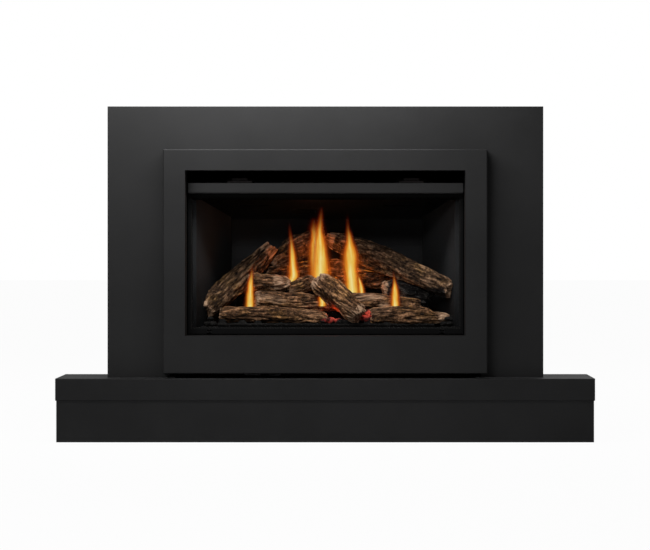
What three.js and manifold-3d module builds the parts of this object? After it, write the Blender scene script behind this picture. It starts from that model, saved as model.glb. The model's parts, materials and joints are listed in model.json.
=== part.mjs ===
// Direct-vent gas fireplace insert: a steel casing with a log fire behind a glass door, framed by a
// box trim and a three-sided surround, standing on a low hearth riser. Millimetres, +Z up, front at -Y.
// Depths (y) are measured back from the riser's front face; the outermost group centres them.
import * as THREE from "three";
import { mergeVertices } from "three/addons/utils/BufferGeometryUtils.js";
import Module from "manifold-3d";

const wasm = await Module();
wasm.setup();

// ---------------------------------------------------------------- driving dimensions
const seam = 0.3; // gap between seated pieces
const sheet = 2; // steel sheet of the casing, firebox, door, trim and surround

// Hearth riser
const riserWidth = 1372;
const riserDepth = 220;
const riserHeight = 162;
const riserCapHeight = 56;
const riserCapSheet = 2;
const riserFlange = 25;
const riserCapClearance = 0.5; // cap over base, each side
const braceSpacing = 600; // between the two braces under the cap
const braceWidth = 40;
const standWidth = 600;
const standSheet = 3;
const standFoot = 40;

// Three-sided surround plate
const surroundFront = 60;
const surroundWidth = 1118;
const surroundHeight = 695;
const surroundReturn = 20;
const surroundLap = 14; // under the trim's edge at each side
const surroundHeadLap = 15.7; // and under its top edge

// Box trim round the door
const trimFront = 12;
const trimLift = 12; // air slot between riser and trim
const trimWidth = 826;
const trimHeight = 572;
const trimStile = 56;
const trimHead = 54;
const trimSill = 96;
const trimReveal = 72; // depth of the inner return
const postRadius = 7;

// Casing
const sideAirSpace = 36.5; // between firebox and casing
const rearAirSpace = 80.8;
const casingRise = 36.3; // above the trim's opening
const frontFlange = 40; // of the front frame beyond its collar
const baySlotPitch = 62.5;
const baySlotWidth = 41;
const baySlotHeight = 11;
const bayOpeningWidth = 660;
const bayOpeningHeight = 68;

// Firebox
const doorOverlap = 5; // of the door over the firebox, each side
const fireboxSplay = 87.5; // how much each side draws in towards the back
const fireboxDepth = 292;
const floorRise = 3.8; // of the firebox floor over the door's bottom edge
const ceilingDrop = 33.2; // of the firebox ceiling under the door's top edge, at the front
const ceilingFall = 56; // and from there to the back
const seatInset = 4; // of the door seat's opening from the firebox sides
const seatSill = 12; // over the floor
const seatHead = 10; // under the ceiling
const linerThickness = 10;
const linerLedgeHeight = 192;
const linerLedgeRise = 32;
const linerLedgeDepth = 12;

// Door
const doorGap = 2.5; // to the trim's reveal
const airSlot = 30.5; // over the door, under the trim's head
const doorThickness = 16;
const doorStile = 7.5;
const doorBottomRail = 14;
const doorHeadRail = 10.7; // under the visor
const visorHeight = 27.3;
const visorProud = 7;
const visorRadius = 5;
const glassThickness = 5;
const gasketDepth = 12;
const gasketWidth = 7;
const hingePinRadius = 3;
const hingeInset = 5; // the pivot behind the door's face
const hingeHeight = 4; // and above its bottom edge
const hingeBarrel = 5.2;
const hingeSpacing = 600;
const hingeClearance = 0.25;

// Latches
const latchSpacing = 442;
const latchFootWidth = 62;
const latchGripWidth = 40;
const latchGripHeight = 11.5; // from the underside of the foot
const latchSheet = 2.5;
const latchLift = 0.8; // foot above the visor

// Flue
const flueRadius = 38;
const flueWall = 1.5;
const flueSpacing = 120;
const flueRise = 60;
const flueSetback = 300;
const fluePlateWidth = 260;
const fluePlateDepth = 130;
const intakeBoxDepth = 38;
const intakeBoxWidth = 84;
const reliefSpacing = 380;
const reliefLength = 100;
const reliefWidth = 66;

// Burner and gas train
const trayEndGap = 26.8; // between the tray's rear corners and the liners
const trayDepth = 58;
const trayHeight = 15;
const traySetback = 31; // behind the firebox front
const stepLow = 52;
const stepHigh = 94;
const stepLowDepth = 72;
const stepHighDepth = 70;
const stepEndGap = 38; // between the log step and the tray's ends, taken together
const stepOffset = 8; // of the log step to the right
const venturiOffset = 60; // to the right of the middle
const venturiReach = 100; // from its mouth to its upturned end
const venturiRadius = 16;
const venturiWall = 2;
const valveInset = 53; // from the tray's left end
const valveWidth = 120;
const valveDepth = 60;
const valveHeight = 60;
const gasLineRadius = 4.5;
const inletRadius = 8;
const knobDepth = 22;
const gasKnobRadius = 17;
const flameKnobRadius = 13;
const fanDialRadius = 15;
const controlPlateWidth = 200;
const controlPlateOverhang = 27; // beyond the tray's right end

// Blower
const blowerLength = 360;
const wheelRadius = 27;
const bladeCount = 16;
const shaftRadius = 4;
const motorRadius = 28;
const motorLength = 42;

// ---------------------------------------------------------------- places worked out from them
const standTop = riserHeight - seam;
const casingBottom = riserHeight + seam;
const bayFloor = casingBottom + sheet + seam;
const surroundRear = surroundFront + sheet;
const trimBottom = riserHeight + trimLift;
const openingHalf = trimWidth / 2 - trimStile;
const openingBottom = trimBottom + trimSill;
const openingTop = trimBottom + trimHeight - trimHead;
const frameFront = surroundRear + seam;
const doorFront = trimFront + trimReveal + 1;
const doorRear = doorFront + doorThickness;
const doorHalf = openingHalf - doorGap;
const doorBottom = openingBottom + doorGap;
const doorTop = openingTop - airSlot;
const casingTop = openingTop + casingRise;
const floorTop = doorBottom + floorRise;
const visorBottom = doorTop - visorHeight;
const glassFront = doorFront + sheet + seam;
const gasketFront = glassFront + glassThickness + seam;
const seatFront = gasketFront + gasketDepth + seam;
const fireboxFront = seatFront + sheet + seam;
const fireboxRear = fireboxFront + fireboxDepth;
const casingRear = fireboxRear + rearAirSpace;
const fireboxHalf = doorHalf - doorOverlap;
const casingHalf = fireboxHalf + sideAirSpace;
const hingeY = doorFront + hingeInset;
const hingeZ = doorBottom + hingeHeight;
const latchPivotY = doorRear + 12;
const latchPivotZ = doorTop + latchLift + latchSheet + 4;

// Height of the firebox ceiling's underside above the row's floor at depth y.
const ceilingSlope = ceilingFall / fireboxDepth;
const ceilingAt = (y) => doorTop - ceilingDrop - ceilingSlope * (y - fireboxFront);
// Half width of the firebox shell's outer face at depth y.
const shellSplay = fireboxSplay / fireboxDepth;
const shellHalfAt = (y) => fireboxHalf - shellSplay * (y - fireboxFront);

// The burner tray fits between the liners at its rear corners; the step and the gas train follow it.
const linerGap = sheet + 1; // from the shell's outer face to a liner's back
const trayRear = fireboxFront + traySetback + trayDepth;
const trayHalf = shellHalfAt(trayRear) - linerGap - linerThickness - trayEndGap;
const stepX = [stepOffset - trayHalf + stepEndGap, stepOffset + trayHalf - stepEndGap];
const valveX = [valveInset - trayHalf, valveInset - trayHalf + valveWidth];

// ---------------------------------------------------------------- materials
const paint = (color, roughness, metalness) =>
  new THREE.MeshStandardMaterial({ color, roughness, metalness });
const charcoalPaint = paint(0x2c2c2d, 0.5, 0.35);
const blackPaint = paint(0x141415, 0.55, 0.3);
const linerBlack = paint(0x1b1b1c, 0.7, 0.1);
const galvanised = paint(0x8d9093, 0.45, 0.8);
const aluminium = paint(0xb4b6b8, 0.35, 0.9);
const brass = paint(0xb08d4a, 0.35, 0.9);
const bark = paint(0x5a4636, 0.9, 0);
const ember = paint(0x2a2422, 0.95, 0);
const ceramicGlass = new THREE.MeshStandardMaterial({
  color: 0x1a1714,
  roughness: 0.05,
  metalness: 0,
  transparent: true,
  opacity: 0.2,
});
const ropeGrey = paint(0x3a3a3a, 0.95, 0);
const knobBlack = paint(0x111111, 0.4, 0);

// ---------------------------------------------------------------- solids
function solidOf(geometry) {
  const bare = geometry.index ? geometry.toNonIndexed() : geometry.clone();
  for (const name of Object.keys(bare.attributes)) {
    if (name !== "position") bare.deleteAttribute(name);
  }
  const merged = mergeVertices(bare, 1e-4);
  return new wasm.Manifold(
    new wasm.Mesh({
      numProp: 3,
      vertProperties: new Float32Array(merged.attributes.position.array),
      triVerts: new Uint32Array(merged.index.array),
    }),
  );
}

const join = (first, ...more) => more.reduce((whole, solid) => whole.add(solid), first);
const cut = (first, ...tools) => tools.reduce((whole, tool) => whole.subtract(tool), first);

function block([x0, x1], [y0, y1], [z0, z1]) {
  const box = new THREE.BoxGeometry(x1 - x0, y1 - y0, z1 - z0);
  return solidOf(box.translate((x0 + x1) / 2, (y0 + y1) / 2, (z0 + z1) / 2));
}

const AXIS_TURN = {
  x: new THREE.Matrix4().makeRotationZ(-Math.PI / 2),
  y: new THREE.Matrix4(),
  z: new THREE.Matrix4().makeRotationX(Math.PI / 2),
};

// A round bar along an axis, from one end to the other, about the point (its coordinate on that axis unused).
function bar(axis, radius, [from, to], { x = 0, y = 0, z = 0 }, sides = 24) {
  const middle = { x, y, z };
  middle[axis] = (from + to) / 2;
  const rod = new THREE.CylinderGeometry(radius, radius, to - from, sides);
  rod.applyMatrix4(AXIS_TURN[axis]);
  return solidOf(rod.translate(middle.x, middle.y, middle.z));
}

const outline = (points) => new THREE.Shape(points.map(([u, v]) => new THREE.Vector2(u, v)));

function extruded(shape, depth, curveSegments = 6) {
  return new THREE.ExtrudeGeometry(shape, { depth, bevelEnabled: false, curveSegments });
}

// A side profile in (y, z), extruded across the insert from x0 to x1.
function acrossX(shape, [x0, x1]) {
  const turn = new THREE.Matrix4().makeBasis(
    new THREE.Vector3(0, 1, 0),
    new THREE.Vector3(0, 0, 1),
    new THREE.Vector3(1, 0, 0),
  );
  return solidOf(extruded(shape, x1 - x0).applyMatrix4(turn).translate(x0, 0, 0));
}

// A front outline in (x, z), extruded back from y0 to y1.
function alongY(shape, [y0, y1]) {
  const turn = new THREE.Matrix4().makeRotationX(Math.PI / 2);
  return solidOf(extruded(shape, y1 - y0).applyMatrix4(turn).translate(0, y1, 0));
}

// A plan outline in (x, y), extruded up from z0 to z1.
function upZ(shape, [z0, z1]) {
  return solidOf(extruded(shape, z1 - z0).translate(0, 0, z0));
}

// A round section swept along a curve, with an optional bore.
function pipe(curve, radius, bore = 0, steps = 14, sides = 14) {
  const section = new THREE.Shape().absarc(0, 0, radius, 0, 2 * Math.PI);
  if (bore) section.holes.push(new THREE.Path().absarc(0, 0, bore, 0, 2 * Math.PI, true));
  const sweep = { steps, extrudePath: curve, curveSegments: sides, bevelEnabled: false };
  return solidOf(new THREE.ExtrudeGeometry(section, sweep));
}

// A folded-sheet frame: outer rectangle less inner rectangle, both in (x, z).
function ringY([x0, x1], [z0, z1], [u0, u1], [v0, v1], [y0, y1]) {
  return cut(block([x0, x1], [y0, y1], [z0, z1]), block([u0, u1], [y0 - 1, y1 + 1], [v0, v1]));
}

const mirrored = (half) => [-half, half];

function largest(solid) {
  const bodies = solid.decompose();
  return bodies.reduce((best, body) => (body.volume() > best.volume() ? body : best), bodies[0]);
}

function part(name, solid, material) {
  const shape = solid.getMesh();
  const geometry = new THREE.BufferGeometry();
  const positions = new Float32Array(shape.vertProperties);
  geometry.setAttribute("position", new THREE.BufferAttribute(positions, 3));
  geometry.setIndex(new THREE.BufferAttribute(new Uint32Array(shape.triVerts), 1));
  geometry.computeVertexNormals();
  const mesh = new THREE.Mesh(geometry, material);
  mesh.name = name;
  return mesh;
}

function groupOf(meshes, [x, y, z] = [0, 0, 0], tilt = 0) {
  const group = new THREE.Group();
  group.add(...meshes);
  group.position.set(x, y, z);
  group.rotation.x = tilt;
  return group;
}

// A repeatable value from 0 to 1 for the nth lump or knot.
const scatter = (n, seed) => {
  const wave = Math.sin(n * 12.9898 + seed * 78.233) * 43758.5453;
  return wave - Math.floor(wave);
};

// ---------------------------------------------------------------- hearth riser
function riserParts() {
  const half = riserWidth / 2;
  const capBottom = riserHeight - riserCapHeight;
  const cap = cut(
    block(mirrored(half), [0, riserDepth], [capBottom, riserHeight]),
    block(
      mirrored(half - riserCapSheet),
      [riserCapSheet, riserDepth - riserCapSheet],
      [capBottom - 1, riserHeight - riserCapSheet],
    ),
  );
  const inset = riserCapSheet + riserCapClearance;
  const baseHalf = half - inset;
  const baseTop = riserHeight - riserCapSheet - seam;
  const baseY = [inset, riserDepth - inset];
  const shell = block(mirrored(baseHalf), baseY, [0, baseTop]);
  const inside = block(mirrored(baseHalf - sheet), [baseY[0] + sheet, baseY[1] - sheet], [sheet, baseTop + 1]);
  const through = block(
    mirrored(baseHalf - riserFlange),
    [baseY[0] + riserFlange, baseY[1] - riserFlange],
    [-1, sheet + 1],
  );
  const meshes = [
    part("riser_top", cap, charcoalPaint),
    part("riser_base", cut(shell, inside, through), charcoalPaint),
  ];
  for (const [side, name] of [[-1, "riser_brace_left"], [1, "riser_brace_right"]]) {
    const x0 = (side * braceSpacing) / 2 - braceWidth / 2;
    const x1 = x0 + braceWidth;
    const y = [baseY[0] + riserFlange + seam, baseY[1] - riserFlange - seam];
    const channel = cut(
      block([x0, x1], y, [0, baseTop]),
      block(
        side > 0 ? [x0 - 1, x1 - sheet] : [x0 + sheet, x1 + 1],
        [y[0] - 1, y[1] + 1],
        [sheet, baseTop - sheet],
      ),
    );
    meshes.push(part(name, channel, galvanised));
  }
  return meshes;
}

// A bridge of folded sheet that carries the back of the casing at the riser's height.
function rearStand() {
  const half = standWidth / 2;
  const t = standSheet;
  const bridge = alongY(
    outline([
      [-half - standFoot, 0], [-half, 0], [-half, standTop - t], [half, standTop - t],
      [half, 0], [half + standFoot, 0], [half + standFoot, t], [half + t, t],
      [half + t, standTop], [-half - t, standTop], [-half - t, t], [-half - standFoot, t],
    ]),
    [riserDepth + 12, casingRear - 40],
  );
  const window = block([-half - t - 1, half + t + 1], [riserDepth + 52, casingRear - 80], [45, standTop - 40]);
  return part("rear_stand", cut(bridge, window), galvanised);
}

// ---------------------------------------------------------------- surround plate and box trim
function surroundPlate() {
  const half = surroundWidth / 2;
  const bottom = riserHeight + seam;
  const top = bottom + surroundHeight;
  const openTop = trimBottom + trimHeight - surroundHeadLap;
  const openHalf = trimWidth / 2 - surroundLap;
  const rear = surroundFront + surroundReturn;
  const skin = cut(
    block(mirrored(half), [surroundFront, rear], [bottom, top]),
    block(mirrored(half - sheet), [surroundRear, rear + 1], [bottom - 1, top - sheet]),
    block(mirrored(openHalf), [surroundFront - 1, rear + 1], [bottom - 1, openTop]),
  );
  return part("surround_plate", skin, charcoalPaint);
}

function frontTrim() {
  const half = trimWidth / 2;
  const top = trimBottom + trimHeight;
  const back = surroundFront - seam;
  const returnBack = trimFront + trimReveal;
  const box = ringY(
    mirrored(half), [trimBottom, top],
    mirrored(openingHalf), [openingBottom, openingTop],
    [trimFront, back],
  );
  const hollow = ringY(
    mirrored(half - sheet), [trimBottom + sheet, top - sheet],
    mirrored(openingHalf + sheet), [openingBottom - sheet, openingTop + sheet],
    [trimFront + sheet, back + 1],
  );
  const reveal = ringY(
    mirrored(openingHalf + sheet), [openingBottom - sheet, openingTop + sheet],
    mirrored(openingHalf), [openingBottom, openingTop],
    [back - 1, returnBack],
  );
  const posts = [];
  for (const x of mirrored(openingHalf + trimStile / 2)) {
    for (const z of [openingBottom + 40, openingTop - 40]) {
      posts.push(bar("y", postRadius, [trimFront + 1, surroundRear], { x, z }, 16));
    }
  }
  return part("front_trim", join(cut(box, hollow), reveal, ...posts), charcoalPaint);
}

// ---------------------------------------------------------------- casing
function casingParts() {
  const inner = casingHalf - sheet;
  const back = casingRear - sheet;
  const front = frameFront + sheet + seam;
  const floor = cut(
    block(mirrored(inner - seam), [front, back - seam], [casingBottom, casingBottom + 15]),
    block(mirrored(inner - seam - sheet), [front - 1, back - seam - sheet], [casingBottom + sheet, casingBottom + 16]),
  );
  const inletY = frameFront + 70;
  const wrap = cut(
    block(mirrored(casingHalf), [front, casingRear], [casingBottom, casingTop - sheet - seam]),
    block(mirrored(inner), [front - 1, back], [casingBottom - 1, casingTop]),
    bar("x", inletRadius + 3, [-casingHalf - 1, -inner + 1], { y: inletY, z: bayFloor + 50 }),
  );
  const lid = cut(
    block(mirrored(casingHalf), [front, casingRear], [casingTop - sheet, casingTop]),
    ...mirrored(flueSpacing / 2).map((x) =>
      bar("z", flueRadius + 2, [casingTop - sheet - 1, casingTop + 1], { x, y: flueSetback }, 24),
    ),
  );
  const curb = cut(
    block(mirrored(inner - seam), [front, back - seam], [casingTop - sheet - 12, casingTop - sheet]),
    block(mirrored(inner - seam - sheet), [front - 1, back - seam - sheet], [casingTop - 20, casingTop]),
  );
  return [
    part("casing_base", floor, galvanised),
    part("casing_wrap", wrap, galvanised),
    part("casing_top", join(lid, curb), galvanised),
    part("casing_front_frame", frontFrame(), blackPaint),
  ];
}

// The face that closes the casing round the door: a collar for the reveal, an opening to the control
// bay and a row of air slots along the bottom.
function frontFrame() {
  const collarHalf = openingHalf + sheet + 5;
  const collarBottom = openingBottom - sheet - 5;
  const collarTop = openingTop + sheet + 5;
  const faceHalf = collarHalf + frontFlange;
  const face = [frameFront, frameFront + sheet];
  const bayBottom = collarBottom - bayOpeningHeight - 8;
  const flange = cut(
    block(mirrored(faceHalf), face, [casingBottom, casingTop + 8]),
    block(mirrored(collarHalf), [face[0] - 1, face[1] + 1], [collarBottom, collarTop]),
    block(mirrored(bayOpeningWidth / 2), [face[0] - 1, face[1] + 1], [bayBottom, bayBottom + bayOpeningHeight]),
  );
  const collar = ringY(
    mirrored(collarHalf + sheet), [collarBottom - sheet, collarTop + sheet],
    mirrored(collarHalf), [collarBottom, collarTop],
    [face[0], seatFront - seam],
  );
  const slots = [];
  const count = Math.floor((2 * casingHalf - 60) / baySlotPitch);
  for (let i = 0; i < count; i++) {
    const x = (i - (count - 1) / 2) * baySlotPitch;
    const z0 = casingBottom + 2.5;
    slots.push(
      block([x - baySlotWidth / 2, x + baySlotWidth / 2], [face[0] - 1, face[1] + 1], [z0, z0 + baySlotHeight]),
    );
  }
  return cut(join(flange, collar), ...slots);
}

// ---------------------------------------------------------------- firebox
// Everything above the ceiling's underside, raised by the given amount, as a cutting tool.
function aboveCeiling(raise) {
  const y = [fireboxFront - 60, fireboxRear + 60];
  const z = y.map((depth) => ceilingAt(depth) + raise);
  return acrossX(
    outline([[y[0], z[0]], [y[1], z[1]], [y[1], casingTop + 200], [y[0], casingTop + 200]]),
    mirrored(casingHalf + 50),
  );
}

// The firebox's plan, drawn in by an even margin.
function fireboxPlan(margin, from = fireboxFront, to = fireboxRear - margin) {
  const near = shellHalfAt(from) - margin;
  const far = shellHalfAt(to) - margin;
  return outline([[-near, from], [near, from], [far, to], [-far, to]]);
}

function fireboxParts() {
  const wide = casingHalf - 2 * (sheet + seam) - seam;
  const walls = cut(
    upZ(fireboxPlan(0), [bayFloor, casingTop]),
    upZ(fireboxPlan(sheet, fireboxFront - 1), [bayFloor - 1, casingTop + 1]),
  );
  const windowZ = [bayFloor + 12, floorTop - sheet - 14];
  const wings = mirrored(1).map((side) => {
    const x = [side * (fireboxHalf - sheet), side * wide].sort((a, b) => a - b);
    return block(x, [fireboxFront, fireboxFront + sheet], [bayFloor, ceilingAt(fireboxFront) - 6]);
  });
  const shell = cut(
    join(walls, ...wings),
    aboveCeiling(0),
    block(mirrored(casingHalf), [fireboxFront + 12, fireboxFront + 70], windowZ),
    block(mirrored(blowerLength / 2 - 10), [fireboxRear - 8, fireboxRear + 1], [bayFloor + 14, windowZ[1]]),
    block(
      [flueSpacing / 2 - 30, flueSpacing / 2 + 30], [fireboxRear - 8, fireboxRear + 1], [floorTop + 30, floorTop + 70],
    ),
  );

  const lip = 6; // the ceiling's margin over the walls
  const slab = cut(
    upZ(fireboxPlan(-lip, fireboxFront, fireboxRear + lip), [floorTop, casingTop]),
    aboveCeiling(sheet + seam),
  );
  const ceiling = slab.intersect(aboveCeiling(seam));
  const exhaustHole = bar("z", flueRadius - 3, [floorTop, casingTop], { x: -flueSpacing / 2, y: flueSetback }, 24);
  const reliefHoles = mirrored(reliefSpacing / 2).map((x) =>
    block([x - reliefLength / 2 + 10, x + reliefLength / 2 - 10], reliefHoleY(), [floorTop, casingTop]),
  );

  const floorPlate = cut(
    upZ(fireboxPlan(sheet + seam, fireboxFront + seam), [floorTop - sheet, floorTop]),
    bar("z", venturiRadius + 3, [bayFloor, floorTop + 9], venturiFoot(), 24),
  );
  const ledges = cut(
    upZ(fireboxPlan(sheet + seam, fireboxFront + 90, fireboxRear - 60), [floorTop - sheet - 10, floorTop - sheet]),
    upZ(fireboxPlan(2 * sheet + seam, fireboxFront + 89, fireboxRear - 59), [floorTop - sheet - 11, floorTop - sheet]),
  );
  return [
    part("firebox_shell", shell, blackPaint),
    part("firebox_ceiling", cut(ceiling, exhaustHole, ...reliefHoles), blackPaint),
    part("firebox_floor", join(floorPlate, ledges), blackPaint),
    part("door_seat_frame", doorSeat(), blackPaint),
    ...linerParts(),
  ];
}

const reliefHinge = () => fireboxFront + 70; // depth of the relief flaps' hinge line
const reliefHoleY = () => [reliefHinge() + 12, reliefHinge() + reliefWidth - 10];

// The flange that the door's gasket closes on, with the door's hinge ears and the latch brackets.
function doorSeat() {
  const y = [seatFront, seatFront + sheet];
  const half = casingHalf - sheet - 1;
  const bottom = openingBottom - 10;
  const top = doorTop - 8;
  const openBottom = floorTop + seatSill;
  const openTop = ceilingAt(fireboxFront) - seatHead;
  const ring = ringY(
    mirrored(half), [bottom, top],
    mirrored(fireboxHalf - seatInset), [openBottom, openTop],
    y,
  );
  const ears = mirrored(hingeSpacing / 2).map((x) => {
    const ear = join(
      block([x - 2.5, x + 2.5], [hingeY, seatFront + 1], [hingeZ - 7, hingeZ + 4]),
      bar("x", hingeBarrel, [x - 2.5, x + 2.5], { y: hingeY, z: hingeZ }, 16),
    );
    const clear = block([x - 3, x + 3], [doorFront - 3, doorRear], [hingeZ - 20, openingBottom + 0.2]);
    return cut(
      ear,
      clear,
      bar("x", hingePinRadius + hingeClearance, [x - 4, x + 4], { y: hingeY, z: hingeZ }, 16),
    );
  });
  const brackets = [];
  for (const centre of mirrored(latchSpacing / 2)) {
    for (const side of mirrored(latchFootWidth / 2 + 4)) {
      const x = centre + side;
      brackets.push(
        cut(
          block([x - 1.5, x + 1.5], [latchPivotY - 7, seatFront + sheet + 6], [top - 10, latchPivotZ + 6]),
          bar("x", 2.8, [x - 3, x + 3], { y: latchPivotY, z: latchPivotZ }, 12),
        ),
      );
    }
  }
  return join(ring, ...ears, ...brackets);
}

function linerParts() {
  const from = fireboxFront + 6;
  const to = fireboxRear - 30;
  const gap = linerGap;
  const under = aboveCeiling(-1);
  const face = (y, side, inset) => [side * (shellHalfAt(y) - inset), y];
  const meshes = [[-1, "liner_left"], [1, "liner_right"]].map(([side, name]) => {
    const corners = [
      face(from, side, gap),
      face(to, side, gap),
      face(to, side, gap + linerThickness),
      face(from, side, gap + linerThickness),
    ];
    const panel = upZ(outline(side > 0 ? corners : corners.reverse()), [floorTop + seam, casingTop]);
    return part(name, cut(panel, under), linerBlack);
  });
  const y = fireboxRear - sheet - 1 - linerThickness;
  const ledge = floorTop + linerLedgeHeight;
  const profile = outline([
    [y - linerLedgeDepth, floorTop + seam],
    [y + linerThickness, floorTop + seam],
    [y + linerThickness, ceilingAt(y + linerThickness) - 1],
    [y, ceilingAt(y + linerThickness) - 1],
    [y, ledge + linerLedgeRise],
    [y - linerLedgeDepth, ledge],
  ]);
  const half = shellHalfAt(fireboxRear) - sheet - 2;
  const vent = block(
    [flueSpacing / 2 - 26, flueSpacing / 2 + 26], [y - linerLedgeDepth - 1, y + linerThickness + 1],
    [floorTop + 34, floorTop + 66],
  );
  meshes.push(part("liner_back", cut(acrossX(profile, mirrored(half)), vent), linerBlack));
  return meshes;
}

// ---------------------------------------------------------------- flue and relief flaps
function flueParts() {
  const plateBottom = casingTop + seam;
  const collarTop = casingTop + flueRise;
  const exhaustAt = { x: -flueSpacing / 2, y: flueSetback };
  const intakeAt = { x: flueSpacing / 2, y: flueSetback };
  const plateY = [flueSetback - fluePlateDepth / 2, flueSetback + fluePlateDepth / 2];
  const plate = cut(
    block(mirrored(fluePlateWidth / 2), plateY, [plateBottom, plateBottom + sheet]),
    ...[exhaustAt, intakeAt].map((at) =>
      bar("z", flueRadius + 1, [plateBottom - 1, plateBottom + sheet + 1], at, 24),
    ),
  );
  const rim = [plateBottom + sheet + seam, plateBottom + 2 * sheet + seam];
  const bore = flueRadius - flueWall;

  const exhaust = cut(
    join(
      bar("z", flueRadius, [ceilingAt(flueSetback) - 20, collarTop], exhaustAt, 24),
      bar("z", flueRadius + 9, rim, exhaustAt, 24),
    ),
    bar("z", bore, [floorTop, collarTop + 1], exhaustAt, 24),
  );
  const clearOfCeiling = cut(exhaust, cut(belowSlope(), aboveCeiling(sheet + 2 * seam)));

  const boxTop = casingTop - 30;
  const boxBottom = boxTop - 56;
  const rearY = [fireboxRear + lipRear(), fireboxRear + lipRear() + intakeBoxDepth];
  const boxX = [intakeAt.x - intakeBoxWidth / 2, intakeAt.x + intakeBoxWidth / 2];
  const frontY = flueSetback - flueRadius - 4;
  const drop = [floorTop + 24, boxTop];
  const throat = [floorTop + 32, floorTop + 68];
  const t = flueWall;
  const skin = join(
    bar("z", flueRadius, [boxTop - 1, collarTop], intakeAt, 24),
    bar("z", flueRadius + 9, rim, intakeAt, 24),
    block(boxX, [frontY, rearY[1]], [boxBottom, boxTop]),
    block(boxX, rearY, drop),
  );
  const inner = [boxX[0] + t, boxX[1] - t];
  const intake = cut(
    skin,
    bar("z", bore, [boxTop - 2 * t, collarTop + 1], intakeAt, 24),
    block(inner, [frontY + t, rearY[1] - t], [boxBottom + t, boxTop - t]),
    block(inner, [rearY[0] + t, rearY[1] - t], [drop[0] + t, boxTop - t]),
    block([inner[0] + 10, inner[1] - 10], [rearY[0] - 1, rearY[0] + t + 1], throat),
  );
  return [
    part("flue_plate", plate, galvanised),
    part("exhaust_collar", clearOfCeiling, aluminium),
    part("intake_duct", intake, galvanised),
    ...reliefFlaps(),
  ];
}

const lipRear = () => 9 + seam; // clear of the ceiling's rear lip
const belowSlope = () => block(mirrored(casingHalf), [fireboxFront, fireboxRear], [floorTop, casingTop]);

// Two lids that lie on the sloping ceiling over its relief holes and swing up on their front edge.
function reliefFlaps() {
  const tilt = -Math.atan(ceilingSlope);
  const y = reliefHinge();
  const z = ceilingAt(y) + (sheet + 2 * seam) / Math.cos(tilt);
  return [[-1, "relief_flap_left"], [1, "relief_flap_right"]].map(([side, name]) => {
    const lid = block(mirrored(reliefLength / 2), [2, reliefWidth], [0, sheet]);
    const knuckle = bar("x", 3, mirrored(reliefLength / 2), { y: 3, z: 3 }, 16);
    const stiffener = block(mirrored(reliefLength / 2 - 12), [reliefWidth - 14, reliefWidth - 11], [sheet - 1, 9]);
    const flap = part(name, join(lid, knuckle, stiffener), galvanised);
    return groupOf([flap], [(side * reliefSpacing) / 2, y, z], tilt);
  });
}

// ---------------------------------------------------------------- door
function doorParts() {
  const innerHalf = doorHalf - doorStile;
  const innerBottom = doorBottom + doorBottomRail;
  const frameTop = visorBottom - seam;
  const innerTop = frameTop - doorHeadRail;
  const faceX = mirrored(doorHalf);
  const faceZ = [doorBottom, frameTop];
  const frame = ringY(faceX, faceZ, mirrored(innerHalf), [innerBottom, innerTop], [doorFront, doorRear]);
  const pocket = block(
    mirrored(doorHalf - sheet), [doorFront + sheet, doorRear + 1], [doorBottom + 9, frameTop - sheet],
  );
  const notches = [];
  const pins = [];
  for (const x of mirrored(hingeSpacing / 2)) {
    notches.push(block([x - 6, x + 6], [doorFront - 1, doorRear + 1], [doorBottom - 1, doorBottom + 13.5]));
    pins.push(bar("x", hingePinRadius, [x - 7, x + 7], { y: hingeY, z: hingeZ }, 16));
  }
  const glassX = mirrored(doorHalf - sheet - 1);
  const glassZ = [doorBottom + 10, frameTop - sheet - 1];
  const rope = ringY(
    glassX, glassZ,
    mirrored(doorHalf - sheet - 1 - gasketWidth), [glassZ[0] + gasketWidth, glassZ[1] - gasketWidth],
    [gasketFront, gasketFront + gasketDepth],
  );
  return [
    part("door_frame", join(cut(frame, pocket, ...notches), ...pins), blackPaint),
    part("door_visor", doorVisor(), charcoalPaint),
    part("door_glass", block(glassX, [glassFront, glassFront + glassThickness], glassZ), ceramicGlass),
    part("door_gasket", rope, ropeGrey),
  ];
}

// The folded rail along the door's top: a channel open to the rear, with its lower front edge rolled.
function doorVisor() {
  const front = doorFront - visorProud;
  const profile = new THREE.Shape();
  profile.moveTo(doorRear, doorTop);
  profile.lineTo(front, doorTop);
  profile.lineTo(front, visorBottom + visorRadius);
  profile.absarc(front + visorRadius, visorBottom + visorRadius, visorRadius, Math.PI, 1.5 * Math.PI);
  profile.lineTo(doorRear, visorBottom);
  profile.lineTo(doorRear, visorBottom + sheet);
  profile.lineTo(front + visorRadius, visorBottom + sheet);
  profile.absarc(
    front + visorRadius, visorBottom + visorRadius, visorRadius - sheet, 1.5 * Math.PI, Math.PI, true,
  );
  profile.lineTo(front + sheet, doorTop - sheet);
  profile.lineTo(doorRear, doorTop - sheet);
  return acrossX(profile, mirrored(doorHalf));
}

function latchParts() {
  const foot = [-latchPivotY + doorFront - 4, 2];
  const base = -(latchSheet + 4);
  return [[-1, "latch_lever_left"], [1, "latch_lever_right"]].map(([side, name]) => {
    const plate = block(mirrored(latchFootWidth / 2), foot, [base, base + latchSheet]);
    const lip = block(mirrored(latchFootWidth / 2), [foot[0], foot[0] + latchSheet], [base, base + 4]);
    const grip = acrossX(
      outline([
        [foot[0] + 5, base + 1],
        [foot[0] + 5 + latchSheet, base + 1],
        [foot[0] + 3 + latchSheet, base + latchGripHeight],
        [foot[0] + 3, base + latchGripHeight],
      ]),
      mirrored(latchGripWidth / 2),
    );
    const barrel = bar("x", 4.5, mirrored(latchFootWidth / 2), {}, 12);
    const pin = bar("x", 2.5, mirrored(latchFootWidth / 2 + 7), {}, 12);
    const lever = part(name, join(plate, lip, grip, barrel, pin), galvanised);
    return groupOf([lever], [(side * latchSpacing) / 2, latchPivotY, latchPivotZ]);
  });
}

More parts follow.
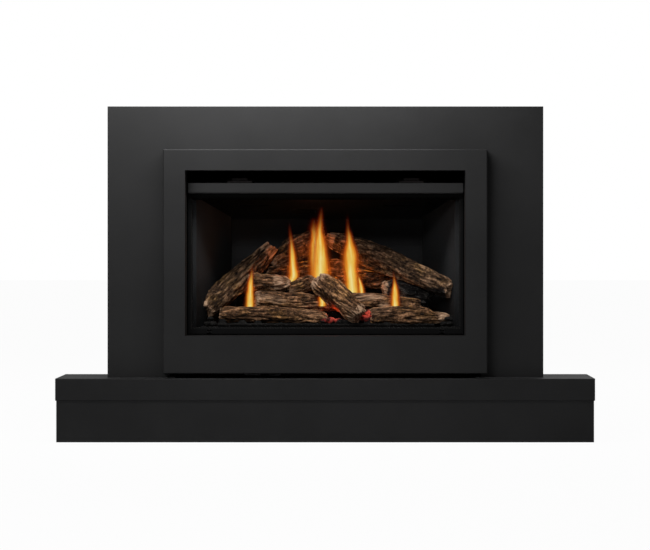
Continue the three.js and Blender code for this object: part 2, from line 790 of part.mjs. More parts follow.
// ---------------------------------------------------------------- burner and gas train
function venturiFoot() {
  return { x: venturiOffset, y: fireboxFront + traySetback + trayDepth / 2 };
}

function burnerParts() {
  const foot = venturiFoot();
  const trayY = [fireboxFront + traySetback, trayRear];
  const trayZ = [floorTop + seam, floorTop + seam + trayHeight];
  const ports = [];
  for (let row = 0; row < 2; row++) {
    for (let i = 0; i < 8; i++) {
      const x = ((i - 3.5) * trayHalf) / 4.6 + row * 18;
      const y = trayY[0] + 18 + row * 22;
      ports.push(bar("z", 2.2, [trayZ[1] - 4, trayZ[1] + 1], { x, y }, 6));
    }
  }
  const tray = cut(
    block(mirrored(trayHalf), trayY, trayZ),
    block(mirrored(trayHalf - sheet), [trayY[0] + sheet, trayY[1] - sheet], [trayZ[0] + sheet, trayZ[1] - sheet]),
    bar("z", venturiRadius - venturiWall, [trayZ[0] - 1, trayZ[0] + 5], foot, 24),
    ...ports,
  );

  const stepY = fireboxFront + stepSetback;
  const midY = stepY + stepLowDepth;
  const endY = midY + stepHighDepth;
  const t = sheet;
  const steps = outline([
    [stepY, 0], [stepY + t, 0], [stepY + t, stepLow - t], [midY + t, stepLow - t],
    [midY + t, stepHigh - t], [endY - t, stepHigh - t], [endY - t, 0], [endY, 0],
    [endY, stepHigh], [midY, stepHigh], [midY, stepLow], [stepY, stepLow],
  ]);
  const logStep = acrossX(steps, stepX).translate([0, 0, floorTop + seam]);

  const axisZ = bayFloor + 58;
  const mouthX = foot.x - venturiReach;
  const run = new THREE.CurvePath();
  const at = (x, z) => new THREE.Vector3(x, foot.y, z);
  const bend = 26;
  run.add(new THREE.LineCurve3(at(mouthX, axisZ), at(foot.x - bend, axisZ)));
  run.add(new THREE.QuadraticBezierCurve3(at(foot.x - bend, axisZ), at(foot.x, axisZ), at(foot.x, axisZ + bend)));
  run.add(new THREE.LineCurve3(at(foot.x, axisZ + bend), at(foot.x, floorTop)));
  const windows = [0, 1, 2].map((i) =>
    block([mouthX + 8, mouthX + 18], mirrored(4), [venturiRadius - 6, venturiRadius + 8])
      .rotate([120 * i, 0, 0])
      .translate([0, foot.y, axisZ]),
  );
  const tube = cut(pipe(run, venturiRadius, venturiRadius - venturiWall, 8, 6), ...windows);

  const sleeve = venturiRadius + 0.6;
  const shutterX = [mouthX + 3, mouthX + 23];
  const shutterAt = { y: foot.y, z: axisZ };
  const collar = join(
    bar("x", sleeve + 2, shutterX, shutterAt, 18),
    block([shutterX[0], shutterX[1] - 6], [foot.y - 2, foot.y + 2], [axisZ + sleeve, axisZ + sleeve + 15]),
  );
  const shutter = cut(collar, bar("x", sleeve, [shutterX[0] - 1, shutterX[1] + 1], shutterAt, 18), ...windows);

  const valveY = [seatFront - 8, seatFront - 8 + valveDepth];
  const valveZ = [bayFloor + 28, bayFloor + 28 + valveHeight];
  const inletY = frameFront + 70;
  const inletZ = bayFloor + 50;
  const knobZ = valveZ[0] + 30;
  const valve = cut(
    join(
      block(valveX, valveY, valveZ),
      block([valveX[0] + 20, valveX[1] - 20], [valveY[0] + 10, valveY[1] - 10], [bayFloor, valveZ[0] + 1]),
      block([valveX[0] + 6, valveX[1] - 6], [valveY[0] + 4, valveY[1] - 4], [bayFloor, bayFloor + 3]),
      bar("z", 12, [valveZ[1] - 1, valveZ[1] + 8], { x: valveX[0] + 60, y: valveY[0] + 30 }, 20),
    ),
    bar("y", 4.6, [valveY[0] - 1, valveY[0] + 14], { x: gasKnobX, z: knobZ }, 16),
    bar("y", 4.6, [valveY[0] - 1, valveY[0] + 14], { x: flameKnobX, z: knobZ }, 16),
  );

  const orificeX = mouthX - 4;
  const outlet = new THREE.Vector3(valveX[1] + seam, inletY, axisZ);
  const jet = new THREE.Vector3(orificeX - 8, foot.y, axisZ);
  const lineCurve = new THREE.CubicBezierCurve3(
    outlet, outlet.clone().setX(valveX[1] + 28), jet.clone().setX(valveX[1] + 28), jet,
  );
  const line = join(
    pipe(lineCurve, gasLineRadius, 0, 9, 5),
    bar("x", 7, [orificeX - 9, orificeX], { y: foot.y, z: axisZ }, 6),
  );

  const tapX = valveX[0] - 70;
  const supply = join(
    bar("x", inletRadius, [-casingHalf - 24, valveX[0] - seam], { y: inletY, z: inletZ }, 16),
    bar("x", inletRadius + 5, [valveX[0] - 16, valveX[0] - seam], { y: inletY, z: inletZ }, 6),
    block([tapX - 16, tapX + 16], [inletY - 12, inletY + 12], [inletZ - 12, inletZ + 12]),
    bar("z", 5, [inletZ + 11, inletZ + 17], { x: tapX, y: inletY }, 16),
    bar("z", 2.5, [inletZ + 16, inletZ + 23.5], { x: tapX, y: inletY }, 16),
    bar("z", 6, [inletZ + 23, inletZ + 26], { x: tapX, y: inletY }, 6),
  );
  const lever = cut(
    join(
      block([-8, 52], [-6, 6], [0, 3.5]),
      block([44, 60], [-7.5, 7.5], [0, 5]),
      bar("z", 8.5, [0, 5], {}, 20),
    ),
    bar("z", 2.9, [-1, 6], {}, 16),
  );
  return [
    part("burner_tray", tray, blackPaint),
    part("log_step", logStep, blackPaint),
    part("burner_venturi", tube, galvanised),
    part("air_shutter", shutter, galvanised),
    part("gas_valve", valve, aluminium),
    part("gas_line", line, aluminium),
    part("gas_inlet", supply, brass),
    groupOf([part("shutoff_lever", lever, brass)], [tapX, inletY, inletZ + 17 + seam]),
    part("pilot_assembly", pilot(), galvanised),
    knob("gas_knob", gasKnobRadius, 4, [gasKnobX, valveY[0] - 1, knobZ], 12),
    knob("flame_knob", flameKnobRadius, 4, [flameKnobX, valveY[0] - 1, knobZ], 12),
  ];
}

const gasKnobX = valveX[0] + 30;
const flameKnobX = valveX[0] + 86;

// A fluted knob facing the room, on a stem that runs back into its hole by the given length.
function knob(name, radius, stemRadius, [x, y, z], stemLength) {
  const flutes = 9;
  const rim = new THREE.Shape();
  const points = 4 * flutes;
  for (let i = 0; i < points; i++) {
    const angle = (2 * Math.PI * i) / points;
    const r = radius * (1 - 0.05 * (1 + Math.cos(flutes * angle)));
    rim[i ? "lineTo" : "moveTo"](r * Math.cos(angle), r * Math.sin(angle));
  }
  const solid = join(
    alongY(rim, [-knobDepth + 4, 0]),
    bar("y", radius * 0.78, [-knobDepth, -knobDepth + 5], {}, 20),
    block([-1.5, 1.5], [-knobDepth - 1.5, -knobDepth + 1], [0, radius * 0.7]),
    bar("y", stemRadius, [-1, stemLength], {}, 12),
  );
  return groupOf([part(name, solid, knobBlack)], [x, y, z]);
}

// The pilot's bracket, hood, flame sensor and spark electrode.
function pilot() {
  const x = -trayHalf - 12;
  const y = fireboxFront + 44;
  const z = floorTop + seam;
  return join(
    block([x - 7, x + 7], [y - 8, y + 14], [z, z + 2]),
    block([x - 7, x + 7], [y + 10, y + 12], [z, z + 12]),
    bar("z", 4.5, [z + 1, z + 20], { x, y: y + 6 }, 14),
    bar("z", 1.4, [z + 1, z + 26], { x: x - 5, y }, 8),
    bar("z", 1.4, [z + 1, z + 24], { x: x + 5, y }, 8),
    block([x - 4, x + 4], [y - 1, y + 6], [z + 16, z + 18]),
  );
}

// ---------------------------------------------------------------- logs and embers
// Each log runs from one end to the other in the firebox's own frame: x across, y behind the firebox
// front and z above its floor, all in half widths of the burner tray that the set is made for. Radii
// are at its start, middle and end; lift bows its middle upwards.
const logs = [
  { name: "log_front_left", from: [-0.975, 0.219, 0.158], to: [0.004, 0.2, 0.122], radii: [0.067, 0.085, 0.06], lift: 0.007 },
  { name: "log_front_right", from: [0.417, 0.201, 0.141], to: [1.152, 0.177, 0.117], radii: [0.078, 0.092, 0.028], lift: 0.011 },
  { name: "log_middle_left", from: [-0.65, 0.346, 0.297], to: [0.12, 0.339, 0.24], radii: [0.088, 0.074, 0.06], lift: 0 },
  { name: "log_middle_right", from: [0.155, 0.35, 0.276], to: [0.88, 0.325, 0.247], radii: [0.08, 0.071, 0.057], lift: 0 },
  { name: "log_rear", from: [-0.558, 0.693, 0.48], to: [0.749, 0.693, 0.496], radii: [0.13, 0.155, 0.145], lift: 0.007 },
  { name: "log_base_right", from: [0.523, 0.412, 0.393], to: [0.968, 0.42, 0.286], radii: [0.062, 0.141, 0.12], lift: 0.015 },
  { name: "log_small_left", from: [-0.721, 0.393, 0.445], to: [-0.346, 0.4, 0.439], radii: [0.079, 0.085, 0.058], lift: 0.007 },
  { name: "log_chunk", from: [-0.353, 0.431, 0.36], to: [-0.106, 0.459, 0.473], radii: [0.071, 0.085, 0.046], lift: 0 },
  { name: "log_left_diagonal", from: [-1.13, 0.275, 0.204], to: [-0.523, 0.693, 0.777], radii: [0.111, 0.105, 0.078], lift: -0.03 },
  { name: "log_rear_left", from: [-0.495, 0.763, 0.608], to: [-0.021, 0.77, 0.898], radii: [0.099, 0.11, 0.085], lift: 0.018 },
  { name: "log_right_diagonal", from: [0.021, 0.763, 0.855], to: [1.15, 0.11, 0.38], radii: [0.082, 0.12, 0.083], lift: 0.02 },
  { name: "log_crossing", from: [-0.085, 0.297, 0.465], to: [0.311, 0.12, 0.141], radii: [0.095, 0.117, 0.095], lift: 0.022 },
];
const logSides = 12;
const logRings = 11;

// A bark-covered log as a loft: ridged rings on a gently bowed centre line, with broken ends.
function logGeometry({ from, to, radii, lift }, seed, grow = 0) {
  const start = new THREE.Vector3(...from).multiplyScalar(trayHalf);
  const end = new THREE.Vector3(...to).multiplyScalar(trayHalf);
  const along = end.clone().sub(start).normalize();
  start.addScaledVector(along, -grow);
  end.addScaledVector(along, grow);
  const middle = start.clone().add(end).multiplyScalar(0.5).add(new THREE.Vector3(0, 0, 2 * lift * trayHalf));
  const axis = new THREE.QuadraticBezierCurve3(start, middle, end);
  const positions = [];
  for (let ring = 0; ring < logRings; ring++) {
    const t = ring / (logRings - 1);
    const centre = axis.getPoint(t);
    const tangent = axis.getTangent(t);
    const side = new THREE.Vector3().crossVectors(tangent, new THREE.Vector3(0, 0, 1)).normalize();
    const up = new THREE.Vector3().crossVectors(side, tangent);
    const taper = trayHalf * (t < 0.5
      ? THREE.MathUtils.lerp(radii[0], radii[1], 2 * t)
      : THREE.MathUtils.lerp(radii[1], radii[2], 2 * t - 1));
    const edge = ring === 0 || ring === logRings - 1;
    for (let i = 0; i < logSides; i++) {
      const angle = (2 * Math.PI * i) / logSides;
      const ridge =
        0.07 * Math.sin(2 * angle + seed + 2 * t) +
        0.05 * Math.sin(3 * angle + 2.3 * seed - 3 * t) +
        0.05 * Math.sin(5 * angle + 1.7 * seed + 4 * t) +
        0.06 * Math.sin(9 * t + seed);
      const radius = taper * (1 + ridge) * (edge ? 0.86 : 1) + grow;
      const jag = edge ? 0.16 * taper * Math.sin(2 * angle + seed) : 0;
      const point = centre
        .clone()
        .addScaledVector(side, radius * Math.cos(angle))
        .addScaledVector(up, radius * Math.sin(angle))
        .addScaledVector(tangent, jag);
      positions.push(...point.toArray());
    }
  }
  const index = [];
  for (let ring = 0; ring < logRings - 1; ring++) {
    for (let i = 0; i < logSides; i++) {
      const a = ring * logSides + i;
      const b = ring * logSides + ((i + 1) % logSides);
      index.push(a, a + logSides, b, b, a + logSides, b + logSides);
    }
  }
  for (const [ring, t] of [[0, 0], [logRings - 1, 1]]) {
    const hub = positions.length / 3;
    positions.push(...axis.getPoint(t).toArray());
    for (let i = 0; i < logSides; i++) {
      const a = ring * logSides + i;
      const b = ring * logSides + ((i + 1) % logSides);
      index.push(...(t ? [hub, b, a] : [hub, a, b]));
    }
  }
  const geometry = new THREE.BufferGeometry();
  geometry.setAttribute("position", new THREE.Float32BufferAttribute(positions, 3));
  geometry.setIndex(index);
  return geometry;
}

function logSolid(spec, seed, grow = 0) {
  const made = solidOf(logGeometry(spec, seed, grow));
  if (made.volume() < 0) throw new Error(spec.name + " is inside out");
  return made;
}

// A short broken branch on the right-hand leaning log.
const branchStub = { from: [0.595, 0.46, 0.65], to: [0.668, 0.345, 0.56], radii: [0.078, 0.067, 0.053], lift: 0 };

const stepSetback = traySetback + trayDepth + 3;

// Logs seat on each other: each gives way to those before it, with the seam between them.
function logParts() {
  const rise = [stepSetback, stepSetback + stepLowDepth, stepSetback + stepLowDepth + stepHighDepth];
  const acrossStep = [stepX[0] - seam, stepX[1] + seam];
  const step = block(acrossStep, [rise[0] - seam, rise[1] + seam], [-1, stepLow + 2 * seam]);
  const stepBack = block(acrossStep, [rise[1] - seam, rise[2] + seam], [-1, stepHigh + 2 * seam]);
  const meshes = [];
  const taken = [];
  const wallGap = linerGap + 1 + linerThickness;
  const hearth = cut(
    upZ(fireboxPlan(wallGap, fireboxFront + 2, fireboxRear - wallGap - linerLedgeDepth), [floorTop, casingTop]),
    aboveCeiling(-2),
  ).translate([0, -fireboxFront, -floorTop]);
  logs.forEach((spec, i) => {
    const seed = i + 1;
    let solid = logSolid(spec, seed);
    let grown = logSolid(spec, seed, seam + 0.1);
    if (spec.name === "log_right_diagonal") {
      solid = join(solid, logSolid({ ...branchStub, name: "branch" }, 40));
      grown = join(grown, logSolid({ ...branchStub, name: "branch" }, 40, seam + 0.1));
    }
    meshes.push(part(spec.name, largest(cut(solid.intersect(hearth), step, stepBack, ...taken)), bark));
    taken.push(grown);
  });
  const bedY = [traySetback, traySetback + trayDepth];
  const bedZ = [trayHeight + 2 * seam, trayHeight + 6];
  const lumps = [];
  const count = 23;
  for (let i = 0; i < count; i++) {
    const row = i % 2;
    const size = 9 + 6 * scatter(i, 1);
    const lump = new THREE.IcosahedronGeometry(size, 0)
      .rotateX(3 * scatter(i, 2))
      .rotateZ(3 * scatter(i, 3))
      .scale(1.15, 0.95, 0.85);
    const x = -trayHalf + 10 + ((2 * trayHalf - 20) * (i + 0.6 * scatter(i, 4))) / count;
    const y = bedY[0] + 14 + row * 20 + 10 * scatter(i, 5);
    lumps.push(solidOf(lump.translate(x, y, bedZ[1] + 1 + 4 * scatter(i, 6))));
  }
  const slab = block(mirrored(trayHalf), bedY, bedZ);
  const under = block(mirrored(2 * trayHalf), [0, traySetback + trayDepth + 60], [-20, bedZ[0]]);
  const bed = largest(cut(join(slab, ...lumps), under, step, ...taken));
  meshes.push(part("ember_bed", bed, ember));
  return groupOf(meshes, [0, fireboxFront, floorTop]);
}

// ---------------------------------------------------------------- control plate
const controlPlateX = trayHalf + controlPlateOverhang - controlPlateWidth;
const rockerX = controlPlateX + 40;
const fanDialX = controlPlateX + 95;
const igniterX = controlPlateX + 152;
const rockerTilt = THREE.MathUtils.degToRad(8);

function controlParts() {
  const y = [seatFront - 14, seatFront - 14 + sheet];
  const x0 = controlPlateX;
  const z = [bayFloor, bayFloor + 88];
  const middle = bayFloor + 58;
  const plate = cut(
    join(
      block([x0, x0 + controlPlateWidth], y, z),
      block([x0, x0 + controlPlateWidth], [y[0], y[0] + 44], [z[0], z[0] + sheet]),
    ),
    block([rockerX - 7, rockerX + 7], [y[0] - 1, y[1] + 1], [middle - 12.5, middle + 12.5]),
    bar("y", 4.6, [y[0] - 1, y[1] + 1], { x: fanDialX, z: middle }, 20),
    bar("y", 7, [y[0] - 1, y[1] + 1], { x: igniterX, z: middle }, 20),
  );
  const rocker = acrossX(
    outline([[-6, -11.2], [-2.2, 0], [-6, 11.2], [0.5, 11.4], [7, 6], [7, -6], [0.5, -11.4]]),
    mirrored(6.2),
  );
  const button = join(
    bar("y", 9, [-9, -1], {}, 24),
    bar("y", 6.5, [-8, 20], {}, 20),
  );
  return [
    part("control_plate", plate, blackPaint),
    groupOf([part("power_rocker", rocker, knobBlack)], [rockerX, y[0], middle], rockerTilt),
    knob("fan_dial", fanDialRadius, 4, [fanDialX, y[0] - 1, middle], 14),
    groupOf([part("igniter_button", button, knobBlack)], [igniterX, y[0] - 6, middle]),
  ];
}

// ---------------------------------------------------------------- blower
function blowerParts() {
  const half = blowerLength / 2;
  const y0 = fireboxRear + 3;
  const y1 = casingRear - sheet - seam - 4;
  const bottom = bayFloor;
  const top = floorTop - sheet;
  const t = flueWall;
  const axle = { y: (y0 + y1) / 2, z: bottom + 42 };
  const bend = y1 - axle.y;
  const wall = new THREE.Shape();
  wall.moveTo(y0, bottom);
  wall.lineTo(y1 - bend, bottom);
  wall.absarc(y1 - bend, bottom + bend, bend, -Math.PI / 2, 0);
  wall.lineTo(y1, top);
  wall.lineTo(y1 - t, top);
  wall.absarc(y1 - bend, bottom + bend, bend - t, 0, -Math.PI / 2, true);
  wall.lineTo(y0, bottom + t);
  const cheek = new THREE.Shape();
  cheek.moveTo(y0, bottom);
  cheek.lineTo(y1 - bend, bottom);
  cheek.absarc(y1 - bend, bottom + bend, bend, -Math.PI / 2, 0);
  cheek.lineTo(y1, top);
  cheek.lineTo(y0, top);
  const ends = mirrored(half).map((x) => acrossX(cheek, [x - t, x + t]));
  const cutoff = block(mirrored(half), [y0, y0 + t], [axle.z + wheelRadius + 8, top]);
  const housing = cut(
    join(acrossX(wall, mirrored(half)), cutoff, ...ends),
    bar("x", shaftRadius + 0.5, mirrored(half + 5), axle, 20),
  );
  const wheelHalf = half - 10;
  const blades = [];
  for (let i = 0; i < bladeCount; i++) {
    const blade = block(mirrored(wheelHalf), [-0.8, 0.8], [wheelRadius - 8, wheelRadius - 0.5]);
    blades.push(blade.rotate([(360 * i) / bladeCount, 0, 0]));
  }
  const discs = [-wheelHalf, 0, wheelHalf].map((x) => bar("x", wheelRadius, [x - 1.5, x + 1.5], {}, 16));
  const shaft = bar("x", shaftRadius, [-half - 6, half + motorLength - 10], {}, 16);
  const wheel = part("blower_wheel", join(shaft, ...discs, ...blades), aluminium);
  const motorX = [half + t + seam, half + t + seam + motorLength];
  const motor = cut(
    join(
      bar("x", motorRadius, motorX, axle, 28),
      block([motorX[0] + 8, motorX[1] - 8], [axle.y - 16, axle.y + 16], [bottom, axle.z - motorRadius + 6]),
    ),
    bar("x", shaftRadius + 0.5, [motorX[0] - 1, motorX[1] - 6], axle, 20),
  );
  return [
    part("blower_housing", housing, galvanised),
    groupOf([wheel], [0, axle.y, axle.z]),
    part("blower_motor", motor, galvanised),
  ];
}

// ---------------------------------------------------------------- the insert
const insert = new THREE.Group();
insert.add(
  ...riserParts(),
  rearStand(),
  surroundPlate(),
  frontTrim(),
  ...casingParts(),
  ...fireboxParts(),
  ...flueParts(),
  ...doorParts(),
  ...latchParts(),
  ...burnerParts(),
  logParts(),
  ...controlParts(),
  ...blowerParts(),
);
insert.position.y = -casingRear / 2;

const fireplaceInsert = new THREE.Group();
fireplaceInsert.add(insert);

export default fireplaceInsert;
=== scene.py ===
import json
import math

import bmesh
import bpy
import numpy as np
from mathutils import Euler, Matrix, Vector, noise


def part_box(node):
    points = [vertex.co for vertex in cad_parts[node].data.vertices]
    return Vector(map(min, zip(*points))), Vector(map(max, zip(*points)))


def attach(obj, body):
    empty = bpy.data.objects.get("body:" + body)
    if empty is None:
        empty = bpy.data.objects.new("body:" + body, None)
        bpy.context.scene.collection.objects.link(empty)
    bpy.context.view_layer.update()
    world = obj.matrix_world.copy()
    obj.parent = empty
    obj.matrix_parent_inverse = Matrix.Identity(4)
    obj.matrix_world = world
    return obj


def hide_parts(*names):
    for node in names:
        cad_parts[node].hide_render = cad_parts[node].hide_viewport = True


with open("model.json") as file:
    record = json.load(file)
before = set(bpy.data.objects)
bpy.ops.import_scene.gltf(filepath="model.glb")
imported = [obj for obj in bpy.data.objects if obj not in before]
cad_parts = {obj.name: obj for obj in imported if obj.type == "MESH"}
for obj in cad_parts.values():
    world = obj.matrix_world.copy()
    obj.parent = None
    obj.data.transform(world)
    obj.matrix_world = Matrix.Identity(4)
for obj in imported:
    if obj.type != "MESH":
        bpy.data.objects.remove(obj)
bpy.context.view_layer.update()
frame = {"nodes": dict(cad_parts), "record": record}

scene = bpy.context.scene
scene.view_settings.view_transform = "Standard"
cad = frame["nodes"]
riser_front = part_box("riser_top")[0][1]
MM = 0.001


def spot(x, depth, z):
    """A place across, back from the riser's face and up, given in millimetres, as a point in metres."""
    return Vector((x * MM, riser_front + depth * MM, z * MM))


# ------------------------------------------------------------------ node helpers
def add_node(tree, kind, sockets=None, **settings):
    node = tree.nodes.new(kind)
    for key, value in settings.items():
        setattr(node, key, value)
    for key, value in (sockets or {}).items():
        if isinstance(value, bpy.types.NodeSocket):
            tree.links.new(value, node.inputs[key])
        else:
            node.inputs[key].default_value = value
    return node


def ramp(tree, factor, stops, interpolation="LINEAR"):
    """A colour ramp from (position, colour) stops; gives its colour socket."""
    node = add_node(tree, "ShaderNodeValToRGB", {"Fac": factor})
    band = node.color_ramp
    band.interpolation = interpolation
    while len(band.elements) < len(stops):
        band.elements.new(0.5)
    for element, (position, colour) in zip(band.elements, stops):
        element.position = position
        element.color = (*colour[:3], 1.0)
    return node.outputs["Color"]


def remap(tree, value, low, high, to_low=0.0, to_high=1.0):
    node = add_node(
        tree, "ShaderNodeMapRange",
        {"Value": value, "From Min": low, "From Max": high, "To Min": to_low, "To Max": to_high},
        interpolation_type="SMOOTHSTEP",
    )
    return node.outputs["Result"]


def sums(tree, operation, first, second):
    node = add_node(tree, "ShaderNodeMath", {0: first, 1: second}, operation=operation)
    return node.outputs["Value"]


def mixed(tree, factor, first, second, blend="MIX"):
    node = add_node(tree, "ShaderNodeMix", data_type="RGBA", blend_type=blend)
    for socket, value in ((0, factor), (6, first), (7, second)):
        if isinstance(value, bpy.types.NodeSocket):
            tree.links.new(value, node.inputs[socket])
        else:
            node.inputs[socket].default_value = value
    return node.outputs[2]


def noise_of(tree, vector, scale, detail=3.0, roughness=0.55, distortion=0.0):
    shape = {"Scale": scale, "Detail": detail, "Roughness": roughness, "Distortion": distortion}
    return add_node(tree, "ShaderNodeTexNoise", {"Vector": vector, **shape}).outputs["Fac"]


def object_place(tree):
    """Where each point is, in metres, in the object's own frame."""
    return add_node(tree, "ShaderNodeTexCoord").outputs["Object"]


def attribute(tree, name, output="Fac"):
    """What was painted on the mesh under this name."""
    return add_node(tree, "ShaderNodeAttribute", attribute_name=name).outputs[output]


def bump_of(tree, height, distance, strength=1.0):
    sockets = {"Height": height, "Distance": distance, "Strength": strength}
    return add_node(tree, "ShaderNodeBump", sockets).outputs["Normal"]


SOCKETS = {"colour": "NodeSocketColor", "value": "NodeSocketFloat", "vector": "NodeSocketVector"}


def new_group(name, inputs, outputs):
    """A shader node group with named sockets; gives its tree, its input node and its output node."""
    tree = bpy.data.node_groups.new(name, "ShaderNodeTree")
    for label, kind, value in inputs:
        socket = tree.interface.new_socket(label, in_out="INPUT", socket_type=SOCKETS[kind])
        if value is not None:
            socket.default_value = value
    for label, kind in outputs:
        tree.interface.new_socket(label, in_out="OUTPUT", socket_type=SOCKETS[kind])
    return tree, tree.nodes.new("NodeGroupInput"), tree.nodes.new("NodeGroupOutput")


def finish_group(tree, output, sockets):
    for label, socket in sockets.items():
        tree.links.new(socket, output.inputs[label])
    return tree


# ------------------------------------------------------------------ effects shared by finishes
def powder_coat_group():
    """Fine orange-peel of a baked coat, with faint clouds and settled dust."""
    tree, given, out = new_group(
        "powder coat",
        [("Colour", "colour", (0.03, 0.03, 0.03, 1)), ("Sheen", "value", 0.5), ("Peel", "value", 0.00004)],
        [("Colour", "colour"), ("Roughness", "value"), ("Normal", "vector")],
    )
    place = object_place(tree)
    peel = noise_of(tree, place, 900.0, 2.0)
    clouds = noise_of(tree, place, 5.0, 4.0)
    dust = noise_of(tree, place, 160.0, 5.0, 0.7)
    tint = mixed(tree, remap(tree, clouds, 0.3, 0.7), (0.88, 0.88, 0.88, 1), (1.1, 1.1, 1.1, 1))
    coat = mixed(tree, 1.0, given.outputs["Colour"], tint, "MULTIPLY")
    specks = sums(tree, "MULTIPLY", remap(tree, dust, 0.6, 0.85), 0.25)
    coat = mixed(tree, specks, coat, (0.04, 0.04, 0.041, 1))
    rough = sums(tree, "ADD", given.outputs["Sheen"], remap(tree, dust, 0.3, 0.8, -0.05, 0.08))
    bump = bump_of(tree, peel, given.outputs["Peel"], 0.6)
    return finish_group(tree, out, {"Colour": coat, "Roughness": rough, "Normal": bump})


def spangle_group():
    """Zinc crystals on galvanised sheet, with a thin grey bloom."""
    tree, given, out = new_group(
        "zinc spangle",
        [("Colour", "colour", (0.3, 0.3, 0.3, 1)), ("Crystal size", "value", 90.0)],
        [("Colour", "colour"), ("Roughness", "value")],
    )
    place = object_place(tree)
    swirl = add_node(tree, "ShaderNodeTexNoise", {"Vector": place, "Scale": 60.0}).outputs["Color"]
    swayed = add_node(
        tree, "ShaderNodeVectorMath", {0: swirl, 1: (0.008, 0.008, 0.008), 2: place},
        operation="MULTIPLY_ADD",
    ).outputs["Vector"]
    crystals = add_node(
        tree, "ShaderNodeTexVoronoi", {"Vector": swayed, "Scale": given.outputs["Crystal size"]},
    )
    tone = add_node(tree, "ShaderNodeSeparateColor", {"Color": crystals.outputs["Color"]}).outputs["Red"]
    bloom = noise_of(tree, place, 9.0, 5.0, 0.65)
    light = mixed(tree, tone, (0.78, 0.79, 0.8, 1), (1.16, 1.16, 1.15, 1))
    zinc = mixed(tree, 1.0, given.outputs["Colour"], light, "MULTIPLY")
    zinc = mixed(tree, remap(tree, bloom, 0.5, 0.75, 0.0, 0.5), zinc, (0.2, 0.2, 0.2, 1))
    dulled = remap(tree, bloom, 0.4, 0.7, 0.0, 0.15)
    rough = sums(tree, "ADD", remap(tree, tone, 0.0, 1.0, 0.52, 0.64), dulled)
    return finish_group(tree, out, {"Colour": zinc, "Roughness": rough})


def scuff_group():
    """Fine drawn lines and handling marks on bare metal and moulded plastic."""
    tree, given, out = new_group(
        "drawn lines",
        [("Colour", "colour", (0.5, 0.5, 0.5, 1)), ("Sheen", "value", 0.35), ("Depth", "value", 0.00003)],
        [("Colour", "colour"), ("Roughness", "value"), ("Normal", "vector")],
    )
    place = object_place(tree)
    along = add_node(tree, "ShaderNodeMapping", {"Vector": place, "Scale": (60.0, 900.0, 900.0)})
    lines = noise_of(tree, along.outputs["Vector"], 1.0, 2.0)
    marks = noise_of(tree, place, 35.0, 6.0, 0.7)
    tone = mixed(tree, lines, (0.85, 0.85, 0.85, 1), (1.1, 1.1, 1.1, 1))
    metal = mixed(tree, 1.0, given.outputs["Colour"], tone, "MULTIPLY")
    metal = mixed(tree, remap(tree, marks, 0.55, 0.8, 0.0, 0.35), metal, (0.1, 0.1, 0.1, 1))
    rough = sums(tree, "ADD", given.outputs["Sheen"], remap(tree, marks, 0.35, 0.75, -0.06, 0.16))
    bump = bump_of(tree, lines, given.outputs["Depth"], 0.5)
    return finish_group(tree, out, {"Colour": metal, "Roughness": rough, "Normal": bump})


